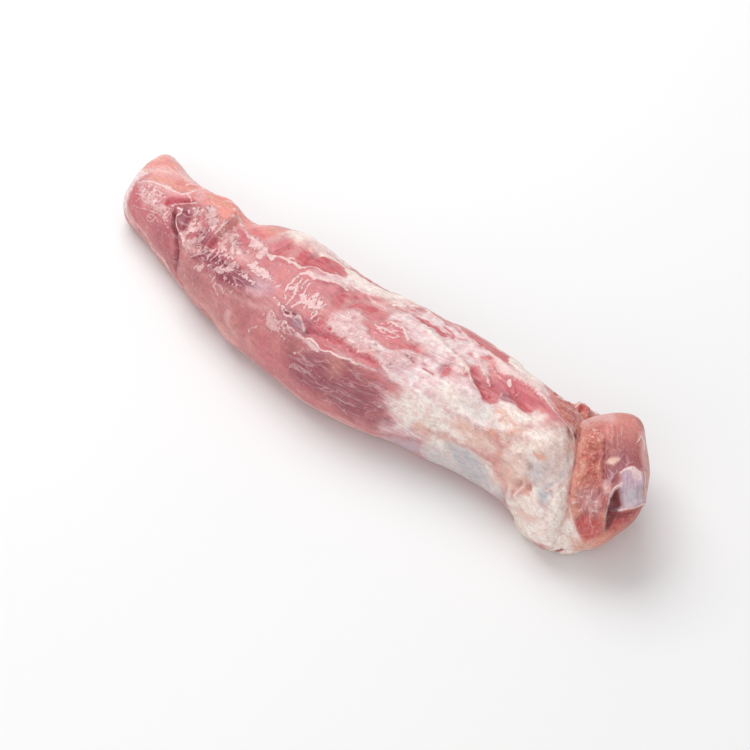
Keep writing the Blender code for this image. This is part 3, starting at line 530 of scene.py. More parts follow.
AREAS["head_lobe", "purple"] = (
    (2.5, 0.75, (93, -25), (95, -27.5), (94, -39), (92.5, -42.5), (90, -42), (92, -29.5)),
    (2, 0.5, (87.5, -27.5), (90.5, -26), (90.5, -30), (87.5, -30.5)),
    (3, 0.45, (87, -36), (90, -39), (91.5, -44.5), (88.5, -45), (86.5, -41)),
    (5, 0.5, (98, -25), (103.5, -23.5), (109.5, -28.5), (108.5, -39.5), (99.5, -38.5), (96.5, -36)),
    (3, 0.6, (105.5, -36.5), (109, -33.5), (109, -41), (107, -39.5)),
    (2.5, 0.9, (92, -36.5), (96.5, -36.5), (99.5, -38.5), (97.5, -44), (94.5, -45.5), (91, -42.5)),
    (2.5, 0.8, (99.5, -46), (103, -48), (107.5, -48), (109.5, -50.5), (103, -52)),
    (4, 0.5, (79, -45.5), (93, -44.5), (93.5, -48), (92.5, -53), (80, -58.5), (78.5, -51.5)),
    (2.5, 0.5, (80.5, -59), (84.5, -57), (86, -60.5), (83.5, -63), (81.5, -61.5)),
    (3, 0.6, (86, -26.5), (90, -26), (90, -32.5), (86, -33.5)),
    (4, 0.75, (90, -32), (101.5, -28.5), (107.5, -35), (102, -40.5), (90.5, -43.5)),
)
AREAS["head_lobe", "salmon"] = (
    (4, 0.8, (96, -17), (107.5, -17), (111, -25), (96, -21.5)),
    (3, 0.45, (83.5, -21.5), (96, -17.5), (96, -20), (84.5, -23.5)),
    (1.6, 0.75, (89.5, -55), (92.5, -54.5), (93, -64.5), (91, -64.5), (89, -60)),
    (2.5, 0.6, (87, -57), (90.5, -57), (91.5, -61), (90.5, -64.5), (87.5, -63.5)),
    (2, 1.2, (83, -62.5), (95.5, -61.5), (94.5, -69.5), (89, -71.5), (83, -69)),
    (3, 0.6, (93, -17.5), (103, -16.5), (108.5, -19), (108, -26.5), (100, -28.5), (92, -26)),
)
AREAS["head_lobe", "fat"] = (
    (1, 0.75, (93.5, -34.5), (96, -33), (99, -33.5), (99.5, -34.5), (97, -36.5), (94, -35.5)),
    (1, 1, (73, -51.5), (76.5, -50), (81, -62.5), (83, -70.5), (79.5, -72), (75, -70), (71.5, -64),
        (72, -55.5)),
    (1, 1.2, (79, -56), (83.5, -66), (87.5, -71.5), (84, -72.5), (79.5, -72), (77, -63)),
)
AREAS["head_lobe", "lilac"] = (
    (1, 1, (99.5, -39.5), (104, -37.5), (105.5, -39), (107.5, -39.5), (108.5, -42), (110, -50.5),
        (96, -55.5), (94.5, -54), (95.5, -53), (99, -53), (100, -51.5), (99, -47), (98, -44.5),
        (99.5, -42.5)),
)
# Pale film, and painted highlights along the lobe's top rim
AREAS["head_lobe", "pale"] = (
    (2, 0.75, (102, -39), (105, -39), (106.5, -41), (105.5, -44), (102.5, -43.5), (101, -41)),
    (0.8, 0.8, (94.5, -49.5), (96, -49.5), (97.5, -51.5), (97, -53), (96, -52.5), (94.5, -51)),
    (1.6, 0.5, (85.5, -48.5), (87, -48.5), (87.5, -57), (86, -58)),
    (2, 0.4, (80.5, -46), (85.5, -45), (86, -46.5), (81, -48)),
    (2, 0.9, (83.5, -21), (89, -18), (89, -21.5), (84.5, -26.5), (81.5, -24)),
    (3, 0.6, (83.5, -47.5), (89, -47.5), (89, -52.5), (84, -53)),
)
# Dark: painted shade in the slit and the nooks round it, and darker flesh
AREAS["head_lobe", "dark"] = (
    (0.9, 0.85, (96, -46.5), (98, -45.5), (99, -48), (100, -51.5), (98, -54.5), (96, -54), (93.5, -52),
        (94.5, -48.5)),
    (1.4, 1.3, (93.5, -52), (95, -53.5), (94, -57), (93.5, -65), (93, -65), (93, -56)),
    (1.2, 1.2, (93.5, -52.5), (98, -54), (98, -57), (94.5, -65), (93.5, -65), (93, -58)),
    (2.5, 0.6, (93.5, -53), (97, -54.5), (98, -58), (94, -65), (93, -58)),
    (3, 0.75, (96, -55), (108, -52), (104, -57.5), (98.5, -61), (95.5, -60.5)),
    (0.8, 1, (83, -23), (85, -22.5), (83, -25.5)),
    (4, 0.36, (99.5, -47), (107, -46.5), (107.5, -52.5), (100, -53)),
    (0.8, 0.9, (82.5, -23.5), (84, -22.5), (84, -25), (82.5, -27)),
    (4, 0.45, (96, -52), (110, -51), (107, -56.5), (98, -65), (91.5, -62)),
)
AREAS["head_lobe", "red"] = (
    (2, 1, (94, -54), (99, -55), (110, -51.5), (98, -63.5), (94.5, -66), (94.5, -60)),
    (2.5, 1, (80, -59.5), (83, -55.5), (87, -57), (92.5, -57), (93, -65.5), (85.5, -68.5), (83, -65)),
    (2, 0.6, (81.5, -52.5), (85.5, -50), (85, -53.5), (80.5, -57.5)),
    (2, 0.5, (87, -63), (95.5, -60.5), (94, -67), (88.5, -68.5)),
)
# Painted glints as short glossy streaks on the lobe, and white threads of film
AREAS["head_lobe", "thread_and_glint"] = (
    (1, 0.8, (78.5, -52), (81, -50), (83.5, -51.5), (80.5, -52.5)),
    (1, 0.8, (84.5, -53.5), (89, -53), (91.5, -54.5), (87.5, -55)),
    (1, 0.8, (81.5, -49), (85, -47.5), (86, -48.5), (82.5, -50)),
    (1, 0.8, (80, -55), (82, -53.5), (84, -54), (81.5, -56)),
    (1, 0.8, (85.5, -51), (89.5, -49.5), (90.5, -50.5), (87, -52)),
    (3, 0.35, (82, -49.5), (91.5, -47.5), (92, -56), (86.5, -58), (81, -55)),
    (2, 0.5, (93, -47.5), (96.5, -46.5), (97, -51.5), (93.5, -52)),
    (1, 0.75, (102, -38), (105.5, -37), (108, -39.5), (107, -43), (103.5, -42)),
)
AREAS["head_lobe", "blue"] = (
    (2, 0.75, (100, -46), (107, -45), (108, -50), (101, -52.5)),
)
AREAS["side_strip", "grainy"] = (
    (1, 1, (72.5, -10.5), (77, -10.5), (82.5, -12), (87.5, -12), (90.5, -13), (93, -16.5), (98.5, -18.5),
        (86, -21), (80, -20), (79, -17.5), (76.5, -14)),
    (1.2, 0.3, (72.5, -10.5), (80, -10.5), (88.5, -12.5), (92.5, -14), (93.5, -16.5), (96.5, -18),
        (83, -21.5), (81, -20.5), (79.5, -18.5), (75, -12.5)),
    (1, 1.2, (74.5, -10.5), (80.5, -10.5), (89, -12.5), (95, -16.5), (92.5, -21.5), (86.5, -24.5),
        (77.5, -13)),
)
AREAS["side_strip", "red"] = (
    (1, 1, (73, -10.5), (77, -10.5), (79, -11.5), (79.5, -14.5), (77, -14), (75, -11)),
    (1, 0.4, (74, -10.5), (79.5, -11), (82, -13), (82, -14), (78, -14.5), (76, -13), (74.5, -10.5)),
    (1.2, 0.5, (80, -17), (86.5, -14.5), (89, -14.5), (88.5, -16.5), (84.5, -17), (81, -18.5)),
)
# Painted shade in a hole at the strip's end
AREAS["side_strip", "dark"] = (
    (0.8, 0.9, (84, -24), (86, -23), (86, -26), (85, -27.5)),
)
# Painted light and highlights on the strip, which lies in shade between the muscle and the lobe
AREAS["side_strip", "pale"] = (
    (1.5, 0.8, (82, -15.5), (85.5, -15), (88.5, -16), (84, -16.5)),
    (1.5, 0.8, (91, -17), (95.5, -17), (98.5, -18), (89, -19.5)),
    (1.2, 0.85, (77.5, -14.5), (80.5, -15), (84, -14.5), (84, -15.5), (79.5, -17), (78, -15.5)),
    (1.6, 0.9, (89, -17), (97, -17.5), (96.5, -19), (87, -19.5)),
    (2, 0.9, (82.5, -18), (90, -17), (91.5, -22), (87, -27), (83, -24.5)),
    (1.5, 0.55, (81, -10.5), (89, -13), (92, -18), (86.5, -23), (82.5, -18)),
)
AREAS["side_strip", "salmon"] = (
    (1.6, 1.6, (86, -13), (90.5, -13), (92.5, -16.5), (89.5, -16), (87.5, -14.5)),
    (2, 1.4, (78.5, -10.5), (89.5, -13), (93, -17), (85, -18)),
    # Strong salmon here is painted light on the strip, which lies in shade
    (1.2, 1.8, (75, -10.5), (82.5, -11), (91, -13.5), (92.5, -19), (86.5, -24), (82, -19.5), (78.5, -13.5)),
)
AREAS["fat_pad", "fat"] = (
    (3, 1, (60, -52), (67, -46), (75.5, -46), (83.5, -50), (85, -72.5), (76, -73.5), (66, -69), (59, -61),
        (59, -55.5)),
    (2, 0.95, (74, -43), (80.5, -44.5), (79, -52), (73, -52)),
    (1, 1.2, (79.5, -56.5), (84.5, -66.5), (87.5, -71), (84, -73), (79, -73), (77.5, -63)),
)
AREAS["fat_pad", "blue"] = (
    (3, 0.6, (68, -47), (72.5, -47), (70.5, -57.5), (69, -56.5), (68, -51.5)),
)
AREAS["fat_pad", "pale"] = (
    (4, 0.4, (59, -54), (65, -54), (65.5, -60), (60, -59.5)),
)
# Dark: painted shade, partly darker flesh
AREAS["fat_pad", "dark"] = (
    (1, 0.8, (74.5, -72.5), (78, -70.5), (81, -71), (75.5, -73.5)),
)
LINES["long_muscle", "fat"] = (
    (1.4, 0.75, (18.5, 34), (32, 39), (45, 42.5), (50, 44.5)),
    (1, 0.9, (85, 81), (85.5, 85), (85, 91.5)),
    (1.3, 0.8, (84.5, 74.5), (86, 74), (89.5, 70)),
    (1.3, 0.85, (-47, 25.5), (-40.5, 23), (-32, 22.5), (-24.5, 21), (-16.5, 21), (-7, 25)),
    (0.7, 1, (-0.5, 29), (-0.5, 27), (1.5, 27), (2, 29), (1, 30.5)),
    (1.3, 0.95, (1, 22.5), (0, 16), (4, 20)),
    (1.2, 0.8, (-8.5, 29), (-5, 27.5), (-2, 24.5), (1.5, 24.5)),
    (0.9, 0.85, (3, 28.5), (10.5, 23), (23.5, 26.5)),
    (5, 0.9, (-28.5, 24), (-18.5, 26.5), (-8, 25), (-0.5, 20), (7.5, 16.5)),
    (6, 1, (-62, 24.5), (-57.5, 17), (-49.5, 14.5), (-39.5, 13.5)),
    (5.5, 1, (52, 17), (62.5, 17), (76, 25)),
    (0.7, 0.75, (-114, 87), (-109.5, 89), (-104.5, 92.5), (-98.5, 92.5)),
    (1.5, 0.85, (-64.5, 26.5), (-59, 22.5), (-51.5, 21), (-38, 13)),
)
LINES["long_muscle", "red"] = (
    (0.7, 0.95, (22, 31), (25, 32.5), (29.5, 33.5)),
    (0.6, 0.95, (14, 22), (19.5, 24.5)),
    (0.8, 0.95, (25, 28.5), (28.5, 29.5)),
    (0.6, 0.9, (28.5, 32), (33.5, 32.5)),
    (0.7, 0.8, (25, 25.5), (28, 25), (33.5, 27.5)),
    (0.5, 0.85, (64, 32), (77, 33)),
    (0.5, 0.75, (59.5, 30.5), (66, 30)),
    (0.5, 0.9, (33.5, 51), (38.5, 52.5)),
    (0.5, 0.95, (3, 25.5), (5, 25.5), (5, 21)),
    (0.6, 0.9, (6, 21), (10.5, 20), (19, 24.5), (22.5, 24)),
    (0.8, 1, (21.5, 31.5), (28, 34), (29.5, 33.5)),
    (0.9, 0.9, (25.5, 28.5), (32, 31)),
    (0.8, 0.75, (7.5, 36.5), (9.5, 36)),
    (1.2, 0.9, (18.5, 46), (22.5, 45.5), (26.5, 45.5)),
    (0.6, 0.95, (33.5, 51), (39, 52.5)),
    (0.5, 1, (-16.5, 51), (-15.5, 51)),
    (0.5, 1, (-12.5, 54), (-12, 53)),
    (0.5, 1, (-9, 54), (-8.5, 53.5)),
    (0.5, 1, (-4, 54), (-3.5, 53)),
    (0.5, 1, (1.5, 55.5), (1.5, 54.5)),
    (0.5, 1, (3.5, 55), (4.5, 55)),
    (0.5, 1, (9.5, 56), (9.5, 55)),
    (0.5, 1, (11, 56), (11, 55)),
    (0.9, 0.85, (-60.5, 40.5), (-58.5, 33.5)),
)
# White threads of film, and in places painted highlights along rims and painted glints
LINES["long_muscle", "thread_and_glint"] = (
    (0.6, 1, (29, 23.5), (37, 28.5), (51.5, 31.5), (66, 32.5), (84.5, 33.5)),
    (0.7, 0.9, (39.5, 41.5), (45, 42.5), (49.5, 44), (53.5, 46), (62.5, 51.5)),
    (0.6, 0.8, (48.5, 37), (59, 42), (62, 44.5)),
    (0.5, 0.7, (54.5, 35), (58.5, 37.5), (68.5, 40.5)),
    (0.9, 1, (67, 38), (68.5, 40.5)),
    (0.4, 0.7, (69.5, 38.5), (72, 42)),
    (0.4, 0.6, (62.5, 40.5), (71.5, 44)),
    (0.6, 1, (80, 33), (84, 35), (98, 38), (102, 38.5), (106.5, 37), (107, 38)),
    (0.8, 0.75, (59.5, 62.5), (64.5, 63.5), (71.5, 64)),
    (0.8, 0.6, (43, 57), (49.5, 59.5), (54.5, 62)),
    (0.8, 0.6, (47.5, 51), (59.5, 59)),
    (0.8, 0.6, (34.5, 61), (45.5, 64.5)),
    (0.8, 0.6, (52.5, 48), (57.5, 52), (60.5, 56)),
    (0.8, 0.6, (41.5, 52), (54.5, 58)),
    (0.6, 0.95, (109, 46.5), (108.5, 52), (107, 58), (103.5, 65), (100, 70.5)),
    (0.8, 0.9, (88, 84), (89.5, 78.5)),
    (0.6, 0.7, (82.5, 66.5), (84, 64), (86, 63.5)),
    (0.5, 0.7, (84, 67), (86.5, 64), (88.5, 64)),
    (0.5, 0.7, (85.5, 53.5), (86, 56), (88, 56)),
    (0.6, 0.9, (95, 70.5), (95.5, 70.5)),
    (0.6, 0.9, (73, 82), (73.5, 82)),
    (0.6, 0.9, (71.5, 86), (72, 86)),
    (0.6, 0.9, (86, 67), (86.5, 67.5)),
    (0.7, 0.8, (96.5, 78.5), (98.5, 79), (98, 82)),
    (0.8, 1, (-36.5, 40.5), (-24.5, 35.5), (-21.5, 36)),
    (0.5, 0.8, (-33, 31), (-29.5, 32), (-27, 31.5)),
    (0.5, 0.7, (-25.5, 28.5), (-19.5, 26), (-13.5, 26), (-9, 28)),
    (0.6, 0.8, (2, 42.5), (11.5, 42.5)),
    (0.5, 0.75, (4.5, 43.5), (12.5, 44.5), (14.5, 43)),
    (0.5, 0.7, (4.5, 45), (13, 46)),
    (0.5, 0.7, (3.5, 41), (8, 40.5), (12, 41.5)),
    (0.5, 0.9, (5, 39), (9, 39), (13.5, 40), (20, 43.5)),
    (1, 0.9, (19.5, 57), (25.5, 60)),
    (0.6, 0.9, (-18, 61), (-8.5, 62), (3.5, 60.5), (9.5, 61)),
    (0.5, 0.6, (5.5, 62), (13, 62)),
    (0.5, 0.55, (-20.5, 76.5), (-15, 75.5), (-2.5, 74), (3, 75)),
    (0.5, 0.55, (-14.5, 80.5), (-3.5, 80), (2, 79)),
    (0.5, 0.55, (9, 79.5), (13, 71.5), (15, 70), (19, 69.5), (28.5, 70)),
    (0.5, 0.55, (11.5, 78.5), (12.5, 83), (15.5, 84)),
    (0.5, 0.55, (12, 76.5), (19, 77.5), (26, 76.5)),
    (0.5, 0.55, (4, 72.5), (10, 71), (13, 71)),
    (0.5, 0.55, (14, 65), (18, 67), (25, 68)),
    (0.5, 0.55, (0, 84.5), (11, 83)),
    (0.5, 0.55, (-8, 68.5), (-5.5, 66.5), (-2.5, 66)),
    (0.5, 0.55, (7, 65.5), (10.5, 64.5), (13.5, 64.5)),
    (0.5, 0.55, (24.5, 69), (28.5, 70), (31.5, 73)),
    (0.5, 0.55, (11, 69), (15.5, 68), (19, 68)),
    (0.5, 0.55, (23.5, 71), (27, 73), (31, 73.5)),
    (0.5, 0.6, (-28, 80.5), (-21.5, 80.5), (-19, 80)),
    (0.5, 0.6, (-19.5, 77), (-2.5, 75)),
    (0.5, 0.6, (-14, 80), (2.5, 80)),
    (0.5, 0.6, (-13, 88), (3, 87.5), (11, 85.5)),
    (0.5, 0.6, (-26.5, 88.5), (-14, 89)),
    (0.5, 0.6, (-4.5, 86.5), (1, 86), (6, 84.5)),
    (0.5, 0.6, (25.5, 89), (30, 89), (41, 86.5)),
    (0.7, 0.8, (87.5, 29), (92, 25), (97.5, 22), (101, 15.5), (103.5, 14.5)),
    (0.6, 0.7, (97, 32.5), (102, 25.5), (104.5, 14.5), (106.5, 13.5), (107.5, 27)),
    (0.5, 0.8, (-149, 39.5), (-144.5, 37.5), (-139.5, 34.5)),
    (0.5, 0.8, (-146, 33), (-131, 28), (-128.5, 26)),
    (0.4, 0.7, (-141.5, 28), (-136, 17), (-130, 13.5)),
    (0.4, 0.7, (-157.5, 35.5), (-152, 35.5), (-149, 31.5)),
    (0.6, 0.85, (-127.5, 32.5), (-126.5, 26.5), (-123.5, 23)),
    (0.6, 0.9, (-152.5, 54), (-146.5, 48.5), (-141.5, 46.5), (-130.5, 43), (-125.5, 41), (-123, 38),
        (-121.5, 30)),
    (1.1, 1, (-134.5, 44.5), (-133, 43.5)),
    (0.7, 0.85, (-121.5, 25), (-123, 14.5), (-118, 18)),
    (1, 1, (-100, 23.5), (-99.5, 25.5), (-97.5, 24.5), (-94, 25)),
    (0.6, 0.9, (-106, 25), (-103.5, 20.5), (-102, 19)),
    (0.5, 0.8, (-114.5, 32), (-103, 35.5)),
    (0.5, 0.8, (-111.5, 31), (-103, 30.5)),
    (0.5, 0.8, (-124, 49.5), (-113.5, 38.5)),
    (0.8, 1, (-124.5, 50), (-123.5, 49.5)),
    (0.6, 0.8, (-123, 38.5), (-120, 38), (-118, 40), (-115.5, 38.5)),
    (0.6, 0.85, (-120.5, 49), (-118, 47), (-117.5, 54), (-116, 56.5), (-113, 58.5), (-111, 59.5)),
    (0.5, 0.8, (-115.5, 45), (-113.5, 46), (-114.5, 44)),
    (0.7, 0.95, (-80.5, 37.5), (-77.5, 39), (-60, 42.5)),
    (0.8, 0.9, (-60, 42.5), (-59, 41), (-56.5, 40.5), (-46, 39.5), (-44, 38)),
    (0.6, 1, (-60.5, 42), (-60, 42)),
    (0.6, 1, (-59.5, 41.5), (-59, 41.5)),
    (0.6, 1, (-58, 40.5), (-57.5, 40.5)),
    (0.6, 1, (-56, 40.5), (-55.5, 40.5)),
    (0.6, 1, (-54, 39.5), (-53.5, 39.5)),
    (0.6, 1, (-53.5, 38.5), (-53, 38.5)),
    (0.6, 1, (-52, 40.5), (-51.5, 40.5)),
    (0.6, 1, (-52.5, 37.5), (-52, 37.5)),
    (0.6, 1, (-50, 39), (-49.5, 39)),
    (0.7, 0.9, (-46, 39.5), (-42, 36.5), (-37, 35.5), (-28, 32)),
    (0.9, 1, (-43, 41.5), (-41, 39.5), (-35.5, 40), (-31, 37.5), (-23, 35)),
    (0.6, 0.9, (-29.5, 58), (-27, 56), (-21.5, 59)),
)
# Pale lines, partly painted light: a lit band along the near lower edge and along rims
LINES["long_muscle", "pale"] = (
    (2.5, 0.5, (17, 37), (27, 40)),
    (2.5, 0.5, (18.5, 41), (22.5, 41.5), (27.5, 40.5)),
    (1.2, 0.5, (-27.5, 92.5), (-15, 93.5), (-3.5, 96), (15, 93), (20.5, 95)),
    (4, 0.8, (-160, 32.5), (-157.5, 19.5), (-148.5, 17)),
    (2.6, 0.85, (-52.5, 99.5), (-36, 98.5), (13.5, 99.5), (32.5, 98.5)),
    (2.2, 0.8, (-161, 50), (-160.5, 64.5), (-159, 73), (-148, 88)),
    (0.9, 0.8, (-149.5, 79), (-146, 83), (-139, 84.5), (-133.5, 84.5), (-123, 89.5), (-113, 87.5),
        (-112, 91.5)),
    (2.2, 0.8, (-57.5, 29), (-50, 27.5), (-45, 22), (-34.5, 18.5)),
    (1.4, 0.45, (-57.5, 59.5), (-54, 59), (-50.5, 57.5)),
    (1.6, 0.35, (-53, 63.5), (-42, 61.5)),
    (1.8, 0.45, (-60, 75), (-60, 79.5), (-57, 83), (-53.5, 85.5)),
    (1.6, 0.5, (-78.5, 88), (-77, 91.5), (-71, 92.5), (-66, 95.5)),
    (2.5, 0.5, (-73.5, 91), (-64.5, 89.5), (-55.5, 92.5)),
)
# Dark lines: painted shade in grooves and small pits, partly darker flesh
LINES["long_muscle", "dark"] = (
    (0.5, 0.6, (64, 47.5), (65.5, 49)),
    (0.4, 0.6, (69, 46.5), (75.5, 46.5)),
    (0.4, 0.6, (56.5, 47.5), (61, 47)),
    (0.8, 0.35, (58, 40.5), (60, 40.5)),
    (0.6, 0.4, (28.5, 94), (36.5, 89), (49, 87)),
    (1.6, 0.22, (82.5, 73), (84, 78), (84, 82)),
    (0.5, 0.35, (86.5, 56), (87.5, 56), (87.5, 58)),
    (0.4, 0.4, (105, 68.5), (107.5, 60)),
    (0.5, 0.7, (11.5, 30), (21, 32)),
    (0.4, 0.55, (-4.5, 49.5), (-4, 49.5)),
    (0.4, 0.55, (-7, 44), (-7, 44.5)),
    (0.4, 0.55, (-4.5, 45), (-4, 45)),
    (0.4, 0.55, (8.5, 53), (9, 53)),
    (0.4, 0.55, (13, 52.5), (13.5, 52.5)),
    (0.4, 0.55, (17, 52.5), (17.5, 53)),
    (0.4, 0.55, (18, 53), (18.5, 53)),
    (0.4, 0.55, (21.5, 55.5), (22, 55.5)),
    (0.4, 0.55, (-12, 53.5), (-11.5, 53.5)),
    (0.4, 0.55, (10, 51), (10.5, 51)),
    (0.4, 0.55, (11.5, 51.5), (12, 51.5)),
    (0.4, 0.5, (-8.5, 48.5), (-8.5, 47.5)),
    (0.4, 0.5, (9.5, 51), (11.5, 51.5)),
    (0.5, 0.7, (23.5, 49.5), (28.5, 50.5)),
    (0.6, 0.35, (4.5, 61.5), (10, 61.5)),
    (0.8, 0.4, (28.5, 94), (33.5, 90.5), (38.5, 88.5), (45.5, 87)),
    (0.9, 0.3, (-46, 39), (-47, 26.5)),
    (0.9, 0.25, (-62.5, 42.5), (-60.5, 38), (-59, 32)),
    (1, 0.45, (-129, 52.5), (-118.5, 41.5)),
    (0.7, 0.6, (-118, 40.5), (-118, 37)),
    (0.8, 0.6, (-122, 50.5), (-115, 61), (-110.5, 65.5)),
    (1.3, 0.55, (-111, 65), (-107, 69.5), (-104.5, 77)),
    (0.8, 0.5, (-104.5, 77), (-102.5, 89), (-98, 91)),
    (0.8, 0.5, (-147, 81.5), (-142, 85.5), (-134.5, 87.5), (-129, 85.5)),
    (0.7, 0.5, (-90, 48), (-88.5, 55.5), (-86.5, 56.5)),
    (0.6, 0.45, (-111, 62), (-106, 63.5), (-103.5, 68)),
    (0.7, 0.35, (-50.5, 40.5), (-46, 40)),
    (1, 0.4, (-30.5, 57.5), (-20, 60)),
)
LINES["long_muscle", "rose"] = (
    (1.2, 0.7, (55, 43), (58.5, 44), (60.5, 43)),
    (1, 0.35, (93, 58.5), (95.5, 56.5)),
    (0.9, 0.75, (-43.5, 26.5), (-33.5, 24.5), (-28.5, 25.5), (-19, 23.5)),
    (1.4, 0.6, (-19.5, 31), (-16, 30.5), (-11.5, 31.5)),
    (1.6, 0.6, (-13.5, 32.5), (-7.5, 32.5)),
    (1.8, 0.7, (13.5, 38), (15.5, 37.5)),
    (2, 0.7, (-16.5, 48), (-14, 48.5)),
    (1.5, 0.6, (-11, 46), (-7.5, 46)),
    (1.6, 0.8, (-84, 30.5), (-77, 35), (-72.5, 35)),
)
LINES["long_muscle", "amber"] = (
    (2.6, 0.6, (46, 77.5), (49, 78.5)),
    (3.2, 0.6, (61, 68.5), (64, 68)),
    (2.6, 0.6, (68, 68.5), (70, 68.5)),
    (1.6, 0.9, (71.5, 64.5), (74, 63.5)),
    (0.7, 0.7, (70.5, 53.5), (76, 52.5), (80, 54)),
    (0.7, 0.7, (74, 57), (74.5, 53.5), (73, 52.5)),
    (0.6, 0.7, (71, 54), (73, 51.5), (75, 52.5), (74.5, 55), (76.5, 55)),
    (0.6, 0.6, (68.5, 51), (71.5, 53.5)),
    (1.3, 1, (92.5, 58.5), (96, 56.5)),
    (2, 0.5, (104, 45), (107.5, 40.5), (108.5, 40.5)),
    (1.6, 0.8, (89.5, 73), (91, 74), (91.5, 77)),
    (1.6, 0.5, (90, 89), (94, 88), (98, 85)),
    (1.5, 0.8, (2.5, 23), (3.5, 21.5)),
    (1.8, 0.75, (-145, 24), (-140.5, 22.5)),
    (2.2, 0.65, (-161.5, 41), (-154, 44)),
    (1.7, 0.75, (-145.5, 43.5), (-142, 43)),
    (1.9, 0.75, (-138.5, 42), (-134.5, 40.5)),
    (1.5, 0.7, (-130.5, 40), (-125.5, 35), (-122.5, 29)),
    (2, 0.75, (-114.5, 28), (-111.5, 28)),
    (2.4, 0.8, (-106.5, 26.5), (-102, 25.5)),
    (2, 0.6, (-159, 26), (-152.5, 29.5)),
    (1.6, 0.8, (-104, 17), (-102, 17.5)),
    (1.6, 0.6, (-74, 29.5), (-71, 29.5)),
    (3, 0.35, (-75, 88), (-71.5, 90.5), (-64, 87.5)),
)
LINES["long_muscle", "lilac"] = (
    (4, 0.5, (23.5, 57.5), (29.5, 57), (34, 55.5)),
    (2.4, 0.5, (-68.5, 35.5), (-67, 32.5), (-65, 29.5)),
)
